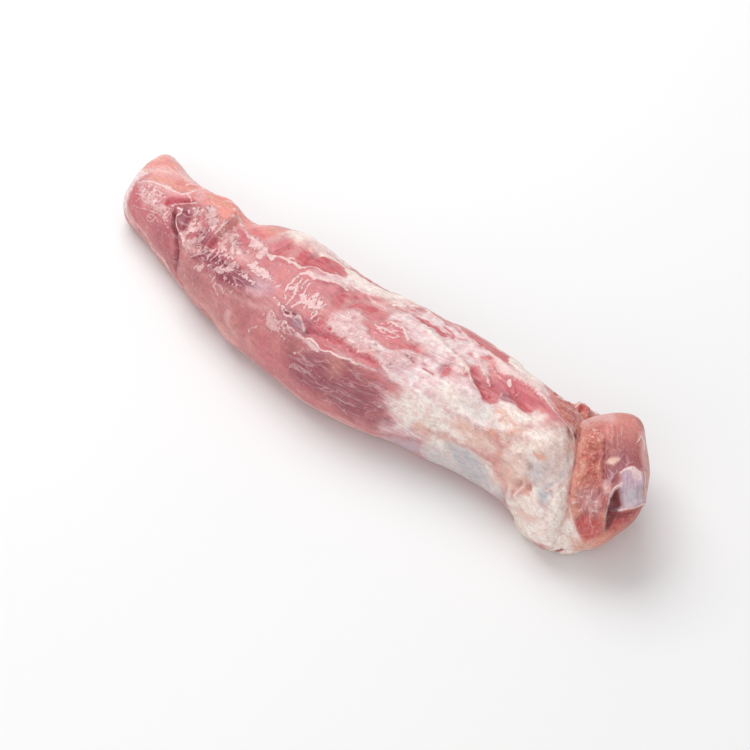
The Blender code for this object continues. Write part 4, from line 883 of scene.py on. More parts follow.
# Painted highlights of the wet film, as thin flakes and small dots
LINES["long_muscle", "film_and_highlight"] = (
    (0.7, 1, (-20, 70), (-19.5, 70)),
    (0.7, 1, (-12, 88), (-11.5, 88)),
    (0.4, 0.95, (-151, 57), (-141.5, 54.5)),
    (0.4, 0.95, (-149.5, 55), (-143.5, 54), (-137, 52)),
    (0.4, 0.95, (-148.5, 58), (-138, 57)),
    (0.4, 0.95, (-147, 54.5), (-140, 53.5), (-134, 51.5)),
    (0.4, 0.95, (-145, 50), (-136.5, 47)),
    (0.4, 0.95, (-148, 65.5), (-146.5, 62), (-138.5, 61), (-136, 61)),
    (0.4, 0.95, (-146.5, 59.5), (-139, 59), (-133, 59)),
    (0.4, 0.95, (-144, 56), (-138, 55), (-132.5, 56)),
    (0.4, 0.95, (-151, 61.5), (-147, 60), (-144, 60.5)),
    (0.4, 0.95, (-136, 56.5), (-131.5, 56), (-128, 57)),
    (0.4, 0.95, (-141, 55), (-130.5, 55)),
    (0.4, 0.95, (-142, 51), (-133.5, 48)),
    (0.4, 0.95, (-148.5, 70), (-135, 64.5), (-130, 62), (-126, 61.5)),
    (0.4, 0.95, (-132, 58), (-124, 59.5)),
    (0.4, 0.95, (-130, 54.5), (-127, 55), (-123.5, 56.5)),
    (0.4, 0.95, (-132.5, 55), (-128, 54.5), (-124.5, 53)),
    (0.4, 0.95, (-136, 62.5), (-128, 59.5)),
    (0.4, 0.95, (-134, 66.5), (-131.5, 65.5), (-129.5, 66.5), (-130.5, 69), (-132.5, 71.5), (-134.5, 72),
        (-135.5, 70), (-134, 66.5)),
    (0.4, 0.9, (-134.5, 69), (-132, 68.5), (-131, 68.5)),
    (0.5, 1, (-132.5, 64), (-132, 64)),
    (0.5, 1, (-127.5, 66.5), (-127, 66.5)),
    (0.5, 1, (-126, 66.5), (-125.5, 66.5)),
    (0.5, 1, (-125.5, 64.5), (-124.5, 64)),
    (0.5, 1, (-125.5, 68.5), (-125, 68.5)),
    (0.5, 1, (-123, 61.5), (-122.5, 61.5)),
    (0.5, 1, (-121, 63), (-120.5, 63)),
    (0.5, 1, (-121, 66.5), (-120.5, 66.5)),
    (0.5, 1, (-121, 60.5), (-120.5, 60.5)),
    (0.5, 1, (-123, 59), (-122.5, 59)),
    (0.5, 1, (-125.5, 62), (-125, 62)),
    (0.5, 1, (-119, 63.5), (-118.5, 63.5)),
    (0.5, 1, (-134, 77.5), (-133.5, 77.5)),
    (0.5, 1, (-124.5, 71), (-124, 71)),
    (0.5, 1, (-112, 79.5), (-111.5, 79)),
    (0.5, 1, (-107, 78), (-106.5, 78)),
    (0.5, 1, (-121.5, 55), (-121, 55)),
    (0.5, 1, (-123, 51), (-122.5, 51)),
    (0.5, 1, (-129.5, 65.5), (-129, 65.5)),
    (0.5, 1, (-99, 47.5), (-96.5, 52.5), (-94.5, 60)),
    (0.5, 1, (-94, 55.5), (-93, 60.5), (-90.5, 58.5), (-88, 54)),
    (0.5, 1, (-96, 66), (-93, 61.5), (-90, 60), (-88, 56.5), (-87, 51.5), (-87.5, 47)),
    (0.5, 1, (-87, 61.5), (-87, 52.5)),
    (0.5, 1, (-96.5, 46.5), (-95.5, 52.5)),
    (0.5, 1, (-110, 38.5), (-107, 47.5)),
    (0.5, 1, (-94.5, 60), (-93, 61.5)),
    (0.5, 1, (-75, 68), (-70, 67)),
    (0.5, 1, (-75, 69.5), (-71, 71.5)),
    (0.5, 1, (-68, 68.5), (-70.5, 67)),
    (0.5, 1, (-95.5, 29.5), (-88.5, 38.5)),
    (0.5, 1, (-84.5, 54), (-80, 56)),
    (0.5, 1, (-83, 61.5), (-84, 63.5), (-82, 62.5)),
    (0.5, 1, (-103.5, 68), (-102, 69)),
    (0.5, 1, (-101, 65.5), (-99.5, 66.5)),
    (0.8, 1, (-83.5, 36), (-76.5, 39.5)),
    (0.5, 1, (-38, 47.5), (-36.5, 54.5)),
    (0.5, 1, (-43, 48), (-42, 50.5)),
    (0.5, 1, (-40.5, 43), (-40, 47)),
    (0.5, 1, (-38.5, 42.5), (-37, 46.5)),
    (0.5, 1, (-36, 42.5), (-34.5, 46)),
    (0.5, 1, (-43, 44.5), (-43.5, 47)),
    (0.5, 1, (-43, 43), (-43, 46)),
    (0.5, 1, (-34, 54), (-33, 48.5)),
    (0.5, 1, (-44, 55.5), (-39.5, 56.5), (-39, 57.5)),
    (0.5, 1, (-37.5, 57), (-34, 59), (-31, 58), (-32, 56.5), (-36.5, 56.5)),
    (0.5, 1, (-40.5, 52), (-39.5, 53)),
    (0.5, 1, (-47, 51), (-46.5, 50)),
    (0.5, 1, (-46.5, 77), (-45.5, 73.5), (-44, 71)),
    (0.5, 1, (-28, 56.5), (-26, 56), (-22.5, 58.5)),
    (0.5, 1, (-30, 44.5), (-30, 46)),
    (0.5, 1, (-28.5, 43.5), (-29, 44.5)),
    (0.5, 1, (-32.5, 62), (-31, 61), (-29, 62), (-30, 63.5), (-32, 63), (-32.5, 62)),
    (0.5, 1, (-28.5, 62.5), (-27, 61.5), (-25, 62), (-26, 64), (-28.5, 62.5)),
    (0.5, 1, (-40, 64), (-40, 61.5), (-37.5, 62.5)),
    (0.5, 1, (-30.5, 64.5), (-27.5, 64.5), (-24.5, 63)),
)
# Salmon along the tail's far rim, partly painted highlight
LINES["long_muscle", "salmon"] = (
    (5, 1, (-112, 18.5), (-103, 22.5), (-95, 21)),
    (2, 1, (-94, 18), (-85, 27.5), (-76.5, 32.5), (-70.5, 29.5)),
    (1.5, 1, (-60.5, 31), (-58.5, 26.5)),
)
LINES["long_muscle", "purple"] = (
    (3, 0.7, (-120, 54), (-115, 61), (-107, 70.5), (-103.5, 84.5)),
    (0.5, 0.75, (-108.5, 37), (-104, 41), (-99, 44)),
    (0.5, 0.75, (-108.5, 34.5), (-99, 43)),
    (0.5, 0.75, (-110, 46.5), (-110, 43.5), (-111.5, 39.5)),
    (0.5, 0.75, (-104, 55), (-104, 47)),
    (0.5, 0.75, (-108, 33), (-103.5, 36), (-98.5, 41)),
    (0.5, 0.75, (-93, 45), (-96, 34.5)),
    (0.5, 0.75, (-88.5, 43.5), (-84, 45), (-79, 48)),
    (0.5, 0.75, (-81, 45.5), (-77.5, 47)),
    (0.5, 0.75, (-75, 38.5), (-71, 40.5), (-67, 41.5)),
    (0.5, 0.75, (-72.5, 41.5), (-69, 42)),
    (0.5, 0.75, (-108.5, 59.5), (-106.5, 56.5)),
    (0.5, 0.75, (-79, 59.5), (-75.5, 61)),
    (0.5, 0.75, (-73, 59.5), (-70.5, 61)),
)
# Milky film lines, partly painted sheen on bulges
LINES["long_muscle", "veil_and_sheen"] = (
    (1.6, 0.9, (-69, 30.5), (-66, 27), (-57, 24)),
    (1.2, 0.7, (-23.5, 62), (-11, 63.5)),
)
# Painted highlights along the lobe's rims
LINES["head_lobe", "pale"] = (
    (1.6, 0.5, (83.5, -29), (83.5, -34), (80, -43)),
    (1.6, 0.7, (111, -24), (110, -32.5), (111, -43)),
    (1.4, 0.7, (93, -43.5), (93, -46.5)),
    (1.4, 0.6, (90, -17.5), (98.5, -17.5)),
)
LINES["head_lobe", "amber"] = (
    (1.2, 0.8, (79.5, -43), (82, -42.5), (85.5, -35)),
    (1.5, 0.7, (110, -40.5), (110.5, -44.5), (110, -48.5)),
    (1.2, 0.75, (92, -56), (92, -63.5)),
    (2.2, 0.8, (84.5, -24.5), (81.5, -32.5), (79, -42.5), (79, -50.5), (80, -56.5)),
)
# White fibres and threads, and painted glints on the lobe's torn film
LINES["head_lobe", "thread_and_glint"] = (
    (0.3, 0.5, (96.5, -21), (96, -23.5)),
    (0.3, 0.5, (96, -24.5), (95.5, -26.5)),
    (0.3, 0.5, (94, -22), (93.5, -25)),
    (0.3, 0.5, (93.5, -27), (93.5, -29)),
    (0.3, 0.5, (97.5, -27.5), (97.5, -30.5)),
    (0.3, 0.5, (93, -22.5), (93, -24)),
    (0.3, 0.5, (97, -25), (97, -26.5)),
    (0.3, 0.5, (95, -27.5), (94.5, -29)),
    (0.3, 0.5, (95.5, -28), (95.5, -30)),
    (0.3, 0.5, (95.5, -19), (95, -20.5)),
    (0.3, 0.5, (93, -30), (93, -31.5)),
    (0.3, 0.5, (98, -23.5), (98, -25)),
    (0.4, 0.5, (84, -39), (87, -36.5), (88, -33.5)),
    (0.4, 0.5, (82.5, -41.5), (86, -39.5), (88.5, -36.5)),
    (0.4, 0.5, (85.5, -35), (88, -33.5), (90.5, -31.5)),
    (0.4, 0.5, (87.5, -27), (89.5, -27.5), (91, -29)),
    (0.4, 0.5, (85, -30.5), (88, -32), (91, -32)),
    (0.4, 0.5, (83, -43.5), (89.5, -41)),
    (0.5, 0.8, (110, -25), (110.5, -27), (110, -30.5)),
    (0.4, 0.8, (107.5, -27.5), (109.5, -25.5)),
    (0.4, 0.6, (108, -18), (109.5, -21.5)),
    (0.6, 0.9, (99.5, -39.5), (102, -38), (104.5, -37.5), (105.5, -39)),
    (0.5, 0.8, (108.5, -39.5), (110, -50.5)),
    (0.6, 1, (110, -51), (96, -55)),
    (0.7, 1, (94.5, -48.5), (96, -46), (99.5, -43.5)),
    (0.4, 0.5, (101.5, -40), (100.5, -48.5)),
    (0.4, 0.5, (105, -41), (105, -48.5)),
    (0.5, 0.95, (94.5, -48.5), (93, -54.5), (93, -65)),
    (0.3, 0.62, (79, -52.5), (82, -51), (84, -49)),
    (0.3, 0.62, (80, -59), (87, -50.5)),
    (0.3, 0.62, (87, -53.5), (91.5, -52)),
    (0.3, 0.62, (87.5, -54), (89.5, -55), (92.5, -54.5)),
    (0.3, 0.62, (87, -50.5), (87.5, -46)),
    (0.3, 0.62, (86, -48.5), (86.5, -58)),
    (0.3, 0.62, (91, -50), (93.5, -45.5)),
    (0.3, 0.62, (81, -48.5), (86, -46.5)),
    (0.3, 0.62, (81, -46.5), (86.5, -44.5)),
    (0.3, 0.62, (79, -51), (83, -48.5)),
    (0.3, 0.62, (83.5, -64.5), (85, -64)),
    (0.3, 0.62, (81.5, -59.5), (82, -59)),
    (0.3, 0.62, (86.5, -57.5), (88, -61)),
    (0.3, 0.62, (90.5, -58.5), (91.5, -57.5)),
    (0.3, 0.62, (87, -55), (88, -56.5)),
    (0.3, 0.62, (84, -46.5), (84.5, -48)),
    (0.3, 0.62, (89, -45), (90, -47)),
    (0.3, 0.62, (88, -52.5), (91.5, -51.5)),
    (0.3, 0.62, (82.5, -54), (85.5, -50.5)),
    (0.3, 0.62, (79.5, -48.5), (81.5, -48)),
    (0.4, 0.7, (89, -66.5), (90.5, -69.5)),
    (0.4, 0.7, (87, -67), (88, -70)),
    (0.5, 0.7, (79, -44), (78.5, -53.5), (82.5, -69.5)),
    (1.4, 0.55, (86.5, -20), (83.5, -26.5), (79.5, -40.5), (78, -48.5), (79, -55), (81, -62.5),
        (85.5, -69), (91.5, -70.5)),
    (0.3, 0.62, (95.5, -21), (94.5, -30)),
    (0.3, 0.62, (97.5, -19.5), (97.5, -24.5), (96.5, -29)),
    (0.3, 0.62, (99.5, -20), (99.5, -28)),
    (0.3, 0.62, (101.5, -20.5), (101.5, -24.5)),
    (0.3, 0.62, (93.5, -23.5), (93.5, -28.5)),
)
# Dark: painted shade in the grooves of the lobe's film
LINES["head_lobe", "dark"] = (
    (0.7, 0.4, (86, -29.5), (91, -30.5)),
    (0.7, 0.4, (85, -37.5), (90.5, -34)),
    (0.7, 0.4, (83, -42.5), (86.5, -41), (89, -39)),
    (0.7, 0.4, (94, -26.5), (94, -31.5), (92.5, -41)),
    (1.2, 0.9, (83.5, -23), (84, -24), (83, -26)),
)
LINES["head_lobe", "fat"] = (
    (2.5, 1, (80.5, -68.5), (84, -70), (87, -70)),
)
LINES["side_strip", "salmon"] = (
    (1.8, 1, (81, -17), (86, -14.5), (90.5, -13.5)),
)
LINES["side_strip", "amber"] = (
    (1.3, 0.7, (80, -17.5), (85, -15.5), (86.5, -17)),
    (0.9, 0.8, (73.5, -10.5), (75, -10.5), (76, -11)),
)
# White threads, and painted highlights along the strip's ragged edge
LINES["side_strip", "thread_and_glint"] = (
    (0.5, 0.8, (78, -14.5), (83, -15.5)),
    (0.5, 0.8, (80, -18.5), (88.5, -18)),
    (0.4, 0.8, (78, -13), (82, -13)),
    (0.4, 0.8, (83.5, -14.5), (85, -13), (88, -13)),
    (0.4, 0.8, (81.5, -20.5), (88.5, -18.5)),
    (0.7, 0.8, (75, -10.5), (87, -12), (91, -13.5)),
    (0.6, 0.7, (80, -13), (84.5, -15), (87.5, -16), (89, -19), (87, -22)),
)
LINES["side_strip", "red"] = (
    (0.9, 0.9, (80, -19), (83.5, -19.5), (86, -18.5)),
    (0.8, 0.9, (83.5, -12.5), (91.5, -15.5)),
    (0.7, 0.9, (81.5, -20), (83.5, -20), (86.5, -19.5)),
)
# Painted highlight along the strip's top
LINES["side_strip", "pale"] = (
    (2, 1.2, (83, -11.5), (88.5, -12.5), (91.5, -15)),
)
LINES["fat_pad", "amber"] = (
    (2.2, 0.4, (60, -56), (64, -58.5), (67, -59.5)),
    (1.6, 0.35, (69.5, -60.5), (73, -64), (78.5, -63.5)),
)
# Dark: painted shade, partly darker flesh
LINES["fat_pad", "dark"] = (
    (0.5, 0.35, (73.5, -50), (78, -45)),
    (0.6, 0.4, (71, -70), (72.5, -70)),
)
LINES["fat_pad", "thread_and_glint"] = (
    (0.6, 0.8, (66, -52), (67, -54), (66, -56)),
    (0.6, 0.8, (72, -57.5), (73, -62), (72, -65.5)),
    (0.6, 0.7, (68.5, -59), (70.5, -60.5), (73, -60.5)),
    (0.6, 0.7, (63.5, -64), (66.5, -64), (69, -67)),
)
LINES["fat_pad", "red"] = (
    (0.9, 1, (75.5, -73), (78.5, -71), (81, -71)),
)
RIDGES["long_muscle"] = (
    (1.3, 1, (39.5, 41.5), (45, 42.5), (49.5, 44), (53.5, 46), (60.5, 51), (64.5, 53)),
    (1.5, -0.8, (57, 45), (61.5, 48), (65.5, 50)),
    (1.2, 0.6, (48.5, 37), (59, 42)),
    (2.2, 0.7, (58.5, 62), (70.5, 64), (75.5, 64)),
    (2, -0.5, (58.5, 81.5), (63, 80), (73, 82.5)),
    (1.8, -1.6, (89.5, 67), (92, 64.5)),
    (1.6, -2, (86.5, 80), (89, 74.5)),
    (1.5, -1.4, (91, 76.5), (93, 74)),
    (1.4, 1.1, (89, 72), (90, 75.5), (90, 79), (88, 84.5)),
    (1.4, 1, (84, 75.5), (85.5, 85), (85, 91.5)),
    (1.6, 1, (77.5, 61), (79.5, 57.5), (83.5, 54)),
    (1.6, 0.7, (82.5, 66.5), (85.5, 63), (88.5, 63)),
    (1.6, -0.7, (81, 71), (83, 75.5), (84, 82)),
    (2.4, -0.9, (106, 46.5), (108.5, 45.5)),
    (1.6, 0.7, (93, 67.5), (101, 64)),
    (1.4, 0.8, (-36.5, 40.5), (-28, 37), (-21.5, 36)),
    (1.2, 0.7, (3.5, 28.5), (7.5, 25.5), (12, 23.5), (20.5, 26.5)),
    (1.3, 0.7, (5, 39), (9, 39), (13.5, 40), (20, 43.5), (25, 44)),
    (1.6, 0.7, (-14, 54), (-2, 55), (6, 56.5), (12.5, 56), (19, 58.5)),
    (1.6, -0.5, (1.5, 45.5), (9.5, 48), (17.5, 48.5)),
    (1.2, 0.9, (88.5, 23.5), (97.5, 22), (104.5, 14.5)),
    (1.2, -0.9, (93.5, 33), (100.5, 32), (107, 24)),
    (1.6, -0.9, (-46, 39), (-47.5, 22.5)),
    (1.4, 1, (-123.5, 50), (-120.5, 45.5), (-117, 42.5), (-113, 37.5)),
    (1.7, -1.9, (-130, 52), (-126, 47), (-117.5, 39.5)),
    (1.3, -2, (-121, 50.5), (-118.5, 55.5), (-115, 61), (-110.5, 65.5), (-105.5, 73.5), (-103.5, 84),
        (-102, 89), (-95.5, 89.5)),
    (1.1, 0.9, (-120, 49), (-116, 56.5), (-112, 59), (-107, 61.5), (-102.5, 65.5)),
    (3, -0.9, (-116, 46), (-113, 51.5), (-111, 57.5)),
    (1.3, 0.8, (-150.5, 75.5), (-147, 81.5), (-140, 86.5), (-131.5, 86), (-124.5, 90)),
    (1, 0.9, (-106.5, 40.5), (-100, 48.5), (-94, 61)),
    (1, 0.9, (-112.5, 38.5), (-108.5, 46), (-106.5, 54.5), (-104, 59.5)),
    (1, -0.8, (-109, 39.5), (-105, 47.5), (-102.5, 54.5), (-102, 60.5)),
    (0.9, 0.8, (-98.5, 44.5), (-94, 51.5), (-92.5, 57)),
    (1, -0.7, (-99.5, 45), (-96, 51.5), (-94, 58.5)),
    (2.2, 1.8, (-100, 23.5), (-96, 31), (-92.5, 41), (-89, 60)),
    (1.5, -1.4, (-93.5, 29.5), (-89.5, 40.5), (-89, 45.5), (-87, 57)),
    (1.2, 0.8, (-87.5, 43), (-81, 46.5), (-74.5, 51)),
    (1.2, -0.8, (-84, 40.5), (-79.5, 44), (-69, 46.5)),
    (1.5, 0.7, (-98, 66.5), (-92, 60), (-87.5, 54)),
    (1.4, -0.8, (-84.5, 59.5), (-78.5, 57.5), (-71, 56.5), (-67, 54)),
    (1, 0.6, (-103.5, 68), (-101.5, 82.5), (-97.5, 85.5)),
    (1.6, 0.9, (-30, 57.5), (-27, 56), (-19, 59.5)),
    (1.5, -0.8, (-36, 57), (-23.5, 58.5), (-18.5, 60.5)),
    (1, 0.6, (-80.5, 37.5), (-72.5, 40), (-62.5, 42), (-54.5, 40.5), (-46, 39.5), (-37, 35.5)),
    (1.4, -0.9, (-59.5, 41), (-58, 37), (-57.5, 33)),
    (2, 0.8, (-49, 29.5), (-45, 36.5)),
    (1.4, -0.7, (-76.5, 38.5), (-63.5, 42.5)),
    (2.6, -0.9, (-65.5, 73.5), (-64, 80.5), (-60, 88)),
    (2.6, -0.9, (-79, 86), (-76.5, 95.5), (-66, 95.5)),
    (2.6, -0.7, (-49.5, 65), (-50, 74), (-47.5, 82.5)),
)
RIDGES["head_lobe"] = (
    (1.1, 0.6, (84, -39), (87, -36.5), (88, -33.5)),
    (1.1, 0.6, (82.5, -41.5), (86, -39.5), (88.5, -36.5)),
    (1.1, 0.6, (85.5, -35), (88, -33.5), (90.5, -31.5)),
    (1.1, 0.6, (87.5, -27), (89.5, -27.5), (91, -29)),
    (1.1, 0.6, (85, -30.5), (88, -32), (91, -32)),
    (1.1, 0.6, (83, -43.5), (86.5, -42.5), (89.5, -41)),
    (1.3, -0.7, (86, -29.5), (91, -30.5)),
    (1.3, -0.7, (85, -37.5), (90.5, -34)),
    (1.3, -0.7, (83, -42.5), (86.5, -41), (89, -39)),
    (1.3, -0.7, (94, -26.5), (94, -31.5), (92.5, -41)),
    (2, 0.7, (97.5, -18.5), (96, -29.5)),
    (2.2, 1.4, (100, -40.5), (103.5, -38.5), (107, -40.5), (108, -45)),
    (1.5, 1, (110, -51), (105, -52), (97, -55)),
    (2.2, -2, (96, -47.5), (98, -48.5), (99, -52.5), (96, -53)),
    (1.4, 1.2, (94, -48.5), (96, -46), (98.5, -45)),
    (1.5, 1.9, (94, -48.5), (92.5, -57), (92.5, -65.5)),
    (1.9, -1.6, (95, -51.5), (94.5, -55), (94, -63.5), (93.5, -66)),
    (4, -1.2, (97.5, -54.5), (97, -58.5), (95.5, -63)),
    (1, 0.6, (79, -52.5), (82, -51), (84, -49)),
    (1, 0.6, (80, -59), (87, -50.5)),
    (1, 0.6, (87, -53.5), (91.5, -52)),
    (1, 0.6, (87.5, -54), (89.5, -55), (92.5, -54.5)),
    (1, 0.6, (87, -50.5), (87.5, -46)),
    (1, 0.6, (86, -48.5), (86, -52.5), (87, -56), (86.5, -58)),
    (1, 0.6, (91, -50), (93.5, -45.5)),
    (1, 0.6, (81, -48.5), (86, -46.5)),
    (1, 0.6, (81, -46.5), (86.5, -44.5)),
    (1, 0.6, (79, -51), (81, -50), (83, -48.5)),
    (1, 0.6, (83.5, -64.5), (85, -64)),
    (1, 0.6, (81.5, -59.5), (82, -59)),
    (1, 0.6, (86.5, -57.5), (88, -61)),
    (1, 0.6, (90.5, -58.5), (91.5, -57.5)),
    (1, 0.6, (87, -55), (88, -56.5)),
    (1, 0.6, (84, -46.5), (84.5, -48)),
    (1, 0.6, (89, -45), (90, -47)),
    (1, 0.6, (88, -52.5), (91.5, -51.5)),
    (1, 0.6, (82.5, -54), (85.5, -50.5)),
    (1, 0.6, (79.5, -48.5), (81.5, -48)),
    (1.3, -0.7, (79.5, -54), (83, -52), (85, -49.5)),
    (1.3, -0.7, (81, -60), (86.5, -53.5)),
    (1.3, -0.7, (88, -50.5), (91.5, -45.5)),
    (1.3, -0.7, (87.5, -54.5), (89.5, -56), (92, -55.5)),
    (1.3, -0.7, (80, -50), (85, -47.5)),
)
RIDGES["side_strip"] = (
    (1.4, 1.3, (75.5, -10.5), (80.5, -17)),
    (1.4, 1.3, (80.5, -14), (84, -16.5), (88.5, -17.5)),
    (1.4, 1.3, (86, -12.5), (92.5, -17)),
    (1.2, -1.1, (77, -10.5), (79.5, -14)),
    (1.2, -1.1, (80.5, -15.5), (84, -18)),
    (1.2, -1.1, (87, -14), (90.5, -16.5)),
    (1.4, 1.2, (74, -10.5), (76, -10.5), (78, -13)),
    (1.4, 1.2, (80.5, -16.5), (87.5, -14.5)),
    (1.4, 1.2, (86.5, -13), (89.5, -14), (92, -16)),
    (1.1, -1, (77.5, -10.5), (82, -14)),
    (1.1, -1, (79, -15), (84.5, -15)),
    (1.1, -1, (85.5, -12.5), (88.5, -15.5)),
)
RIDGES["fat_pad"] = (
    (1.4, 0.8, (66, -51.5), (71.5, -62), (72, -66.5)),
    (1.6, 0.7, (59, -55.5), (66.5, -63.5)),
    (1.6, -0.7, (69, -53), (70.5, -57.5), (74.5, -61.5)),
    (1.5, 0.6, (75, -50), (76.5, -56), (78, -62)),
)
STEPS["long_muscle"] = (
    (5, 1.2, (28.5, 22), (45, 30), (84, 33.5), (89.5, 36), (96.5, 38), (101, 38.5), (105, 38)),
)


def signed_power(value, power):
    return np.sign(value) * np.abs(value) ** power


def smooth_step(value):
    value = np.clip(value, 0, 1)
    return value * value * (3 - 2 * value)


def view_axes():
    """The direction towards the photo's camera, and the picture's right and up."""
    turn, rise = math.radians(VIEW_TURN), math.radians(VIEW_RISE)
    view = np.array((math.sin(turn) * math.cos(rise), -math.cos(turn) * math.cos(rise), math.sin(rise)))
    right = np.array((math.cos(turn), math.sin(turn), 0))
    return view, right, np.cross(view, right)


def section_at(x):
    """Middle, half width and height at each x, by cubic curves through the sections."""
    before = np.clip(np.searchsorted(SECTIONS[:, 0], x, side="right") - 1, 0, len(SECTIONS) - 2)
    rows = np.arange(len(SECTIONS))
    low = SECTIONS[np.maximum(rows - 1, 0)]
    high = SECTIONS[np.minimum(rows + 1, len(SECTIONS) - 1)]
    slope = (high - low) / (high[:, :1] - low[:, :1])
    start, end = SECTIONS[before], SECTIONS[before + 1]
    span = end[:, :1] - start[:, :1]
    t = np.clip((x[:, None] - start[:, :1]) / span, 0, 1)
    value = start * (2 * t**3 - 3 * t**2 + 1) + slope[before] * span * (t**3 - 2 * t**2 + t)
    value += end * (3 * t**2 - 2 * t**3) + slope[before + 1] * span * (t**3 - t**2)
    return value[:, 1], value[:, 2], value[:, 3]


def place_along(share):
    """X and the size of the section, 0 to 1, at a share of the rings from tail to head."""
    tail = np.clip(share / CAP_SHARE, 0, 1) * math.pi / 2
    head = np.clip((1 - share) / CAP_SHARE, 0, 1) * math.pi / 2
    middle = np.clip((share - CAP_SHARE) / (1 - 2 * CAP_SHARE), 0, 1)
    x = TAIL_END + TAIL_CAP * (1 - np.abs(np.cos(tail)) ** (2 / TAIL_POWER))
    x += middle * (HEAD_END - HEAD_CAP - TAIL_END - TAIL_CAP)
    x += HEAD_CAP * np.where(share > 1 - CAP_SHARE, np.abs(np.cos(head)) ** (2 / HEAD_POWER), 0)
    size = np.abs(np.sin(tail)) ** (2 / TAIL_POWER) * np.abs(np.sin(head)) ** (2 / HEAD_POWER)
    return x, size


def unevenness(points):
    """The slow unevenness that the solid has too."""
    heights = [noise.noise(Vector(point) / UNEVEN_SIZE) for point in points]
    return UNEVEN_HEIGHT * np.array(heights)


def broad_relief(x, angle):
    height = np.zeros_like(x)
    for place, degrees, length, width, top in RELIEF:
        turn = (np.degrees(angle) - degrees + 180) % 360 - 180
        arc = np.radians(turn) * MEAN_RADIUS
        height += top * np.exp(-(((x - place) / length) ** 2) - (arc / width) ** 2)
    return height


def muscle_points(share, angle):
    """Each vertex of the long muscle, and its place along."""
    x, size = place_along(share)
    middle, half_width, height = section_at(x)
    widest = WIDEST_SHARE * height
    sine, cosine = np.sin(angle), np.cos(angle)
    above = sine >= 0
    across = half_width * signed_power(cosine, np.where(above, 2 / UPPER_POWER, 2 / LOWER_POWER))
    upper = (height - widest) * np.abs(sine) ** (2 / UPPER_POWER)
    lower = -(widest + SINK) * np.abs(sine) ** (2 / LOWER_POWER)
    rise = np.where(above, upper, lower)
    length = np.hypot(across, rise)
    push = broad_relief(x, angle) + unevenness(np.stack((x, across, rise), 1))
    across, rise = (across + across / length * push) * size, (rise + rise / length * push) * size
    skew = TAIL_SKEW * smooth_step((TAIL_SKEW_FROM - x) / SKEW_LENGTH)
    skew += HEAD_SKEW * smooth_step((x - HEAD_SKEW_FROM) / SKEW_LENGTH)
    return np.stack((x + skew * across, middle + across, widest + rise), 1), x


def lump_points(shape, directions):
    """Each vertex of a lump, from its direction on a ball."""
    level = np.sqrt(np.maximum(1 - directions[:, 2] ** 2, 0))
    turn = np.arctan2(directions[:, 1], directions[:, 0])
    power = 2 / shape["power"]
    half = np.array(shape["half"])
    local = np.stack((
        level**power * signed_power(np.cos(turn), power),
        level**power * signed_power(np.sin(turn), power),
        signed_power(directions[:, 2], power),
    ), 1)
    outwards = local / np.linalg.norm(local, axis=1)[:, None]
    points = local * half
    for spot, radius, height in shape["relief"]:
        distance = np.linalg.norm(points - np.array(spot) * half, axis=1)
        points = points + outwards * (height * np.exp(-((distance / radius) ** 2)))[:, None]
    points = points + outwards * unevenness(points + (*shape["middle"], 0))[:, None]
    points[:, 0] += shape["lean"] * points[:, 2]
    turned = points @ np.array(Matrix.Rotation(shape["turn"], 3, "Z")).T
    return turned + (*shape["middle"], half[2] - LUMP_SINK)


def lattice_noise(places, seed):
    """Smooth noise from -1 to 1 with one bump a unit, the same in each run."""
    cell = np.floor(places).astype(np.int64)
    part = places - cell
    part = part * part * (3 - 2 * part)
    total = np.zeros(len(places))
    for corner in np.ndindex(2, 2, 2):
        key = (cell + corner) @ CELL_PRIMES + seed * SEED_PRIME
        key = (key ^ (key >> FIRST_SHIFT)) & KEPT_BITS
        key = (key * FIRST_PRIME) & KEPT_BITS
        key = ((key ^ (key >> SECOND_SHIFT)) * SECOND_PRIME) & KEPT_BITS
        weight = np.prod(np.where(corner, part, 1 - part), 1)
        total += weight * (key / HALF_RANGE - 1)
    return total


def warped(chart, grain, amount):
    """Chart places that wander a little, so that strokes have living edges."""
    waves = grain / WANDER_SIZE
    wander = np.stack([lattice_noise(waves, seed) for seed in WANDER_SEEDS], 1)
    finer = np.stack([lattice_noise(waves * FINER_WANDER, seed) for seed in FINER_SEEDS], 1)
    return chart + amount * (wander + FINER_SHARE * finer)


def distance_to_path(chart, corners, closed=False):
    """Distance of each place from straight pieces between the corners, its side and its share along."""
    corners = np.array(corners, float)
    nearest = np.full(len(chart), np.inf)
    side = np.zeros(len(chart))
    along = np.zeros(len(chart))
    ends = np.roll(corners, -1, 0) if closed else corners[1:]
    for index, (start, end) in enumerate(zip(corners, ends)):
        run = end - start
        offset = chart - start
        t = np.clip(offset @ run / (run @ run), 0, 1)
        gap = offset - t[:, None] * run
        squared = np.einsum("ij,ij->i", gap, gap)
        closer = squared < nearest
        nearest = np.where(closer, squared, nearest)
        side = np.where(closer, np.sign(run[0] * gap[:, 1] - run[1] * gap[:, 0]), side)
        along = np.where(closer, (index + t) / len(ends), along)
    return np.sqrt(nearest), side, along


def is_inside(chart, corners):
    """Whether each place is inside the closed path."""
    inside = np.zeros(len(chart), bool)
    for (x0, y0), (x1, y1) in zip(corners, corners[1:] + corners[:1]):
        crosses = (chart[:, 1] > y0) != (chart[:, 1] > y1)
        if crosses.any():
            level = (chart[:, 1] - y0) / (y1 - y0)
            inside ^= crosses & (chart[:, 0] < x0 + level * (x1 - x0))
    return inside


def near(chart, corners, reach):
    """Indices of the places that a stroke can touch."""
    corners = np.array(corners, float)
    low, high = corners.min(0) - reach, corners.max(0) + reach
    return np.nonzero(((chart > low) & (chart < high)).all(1))[0]


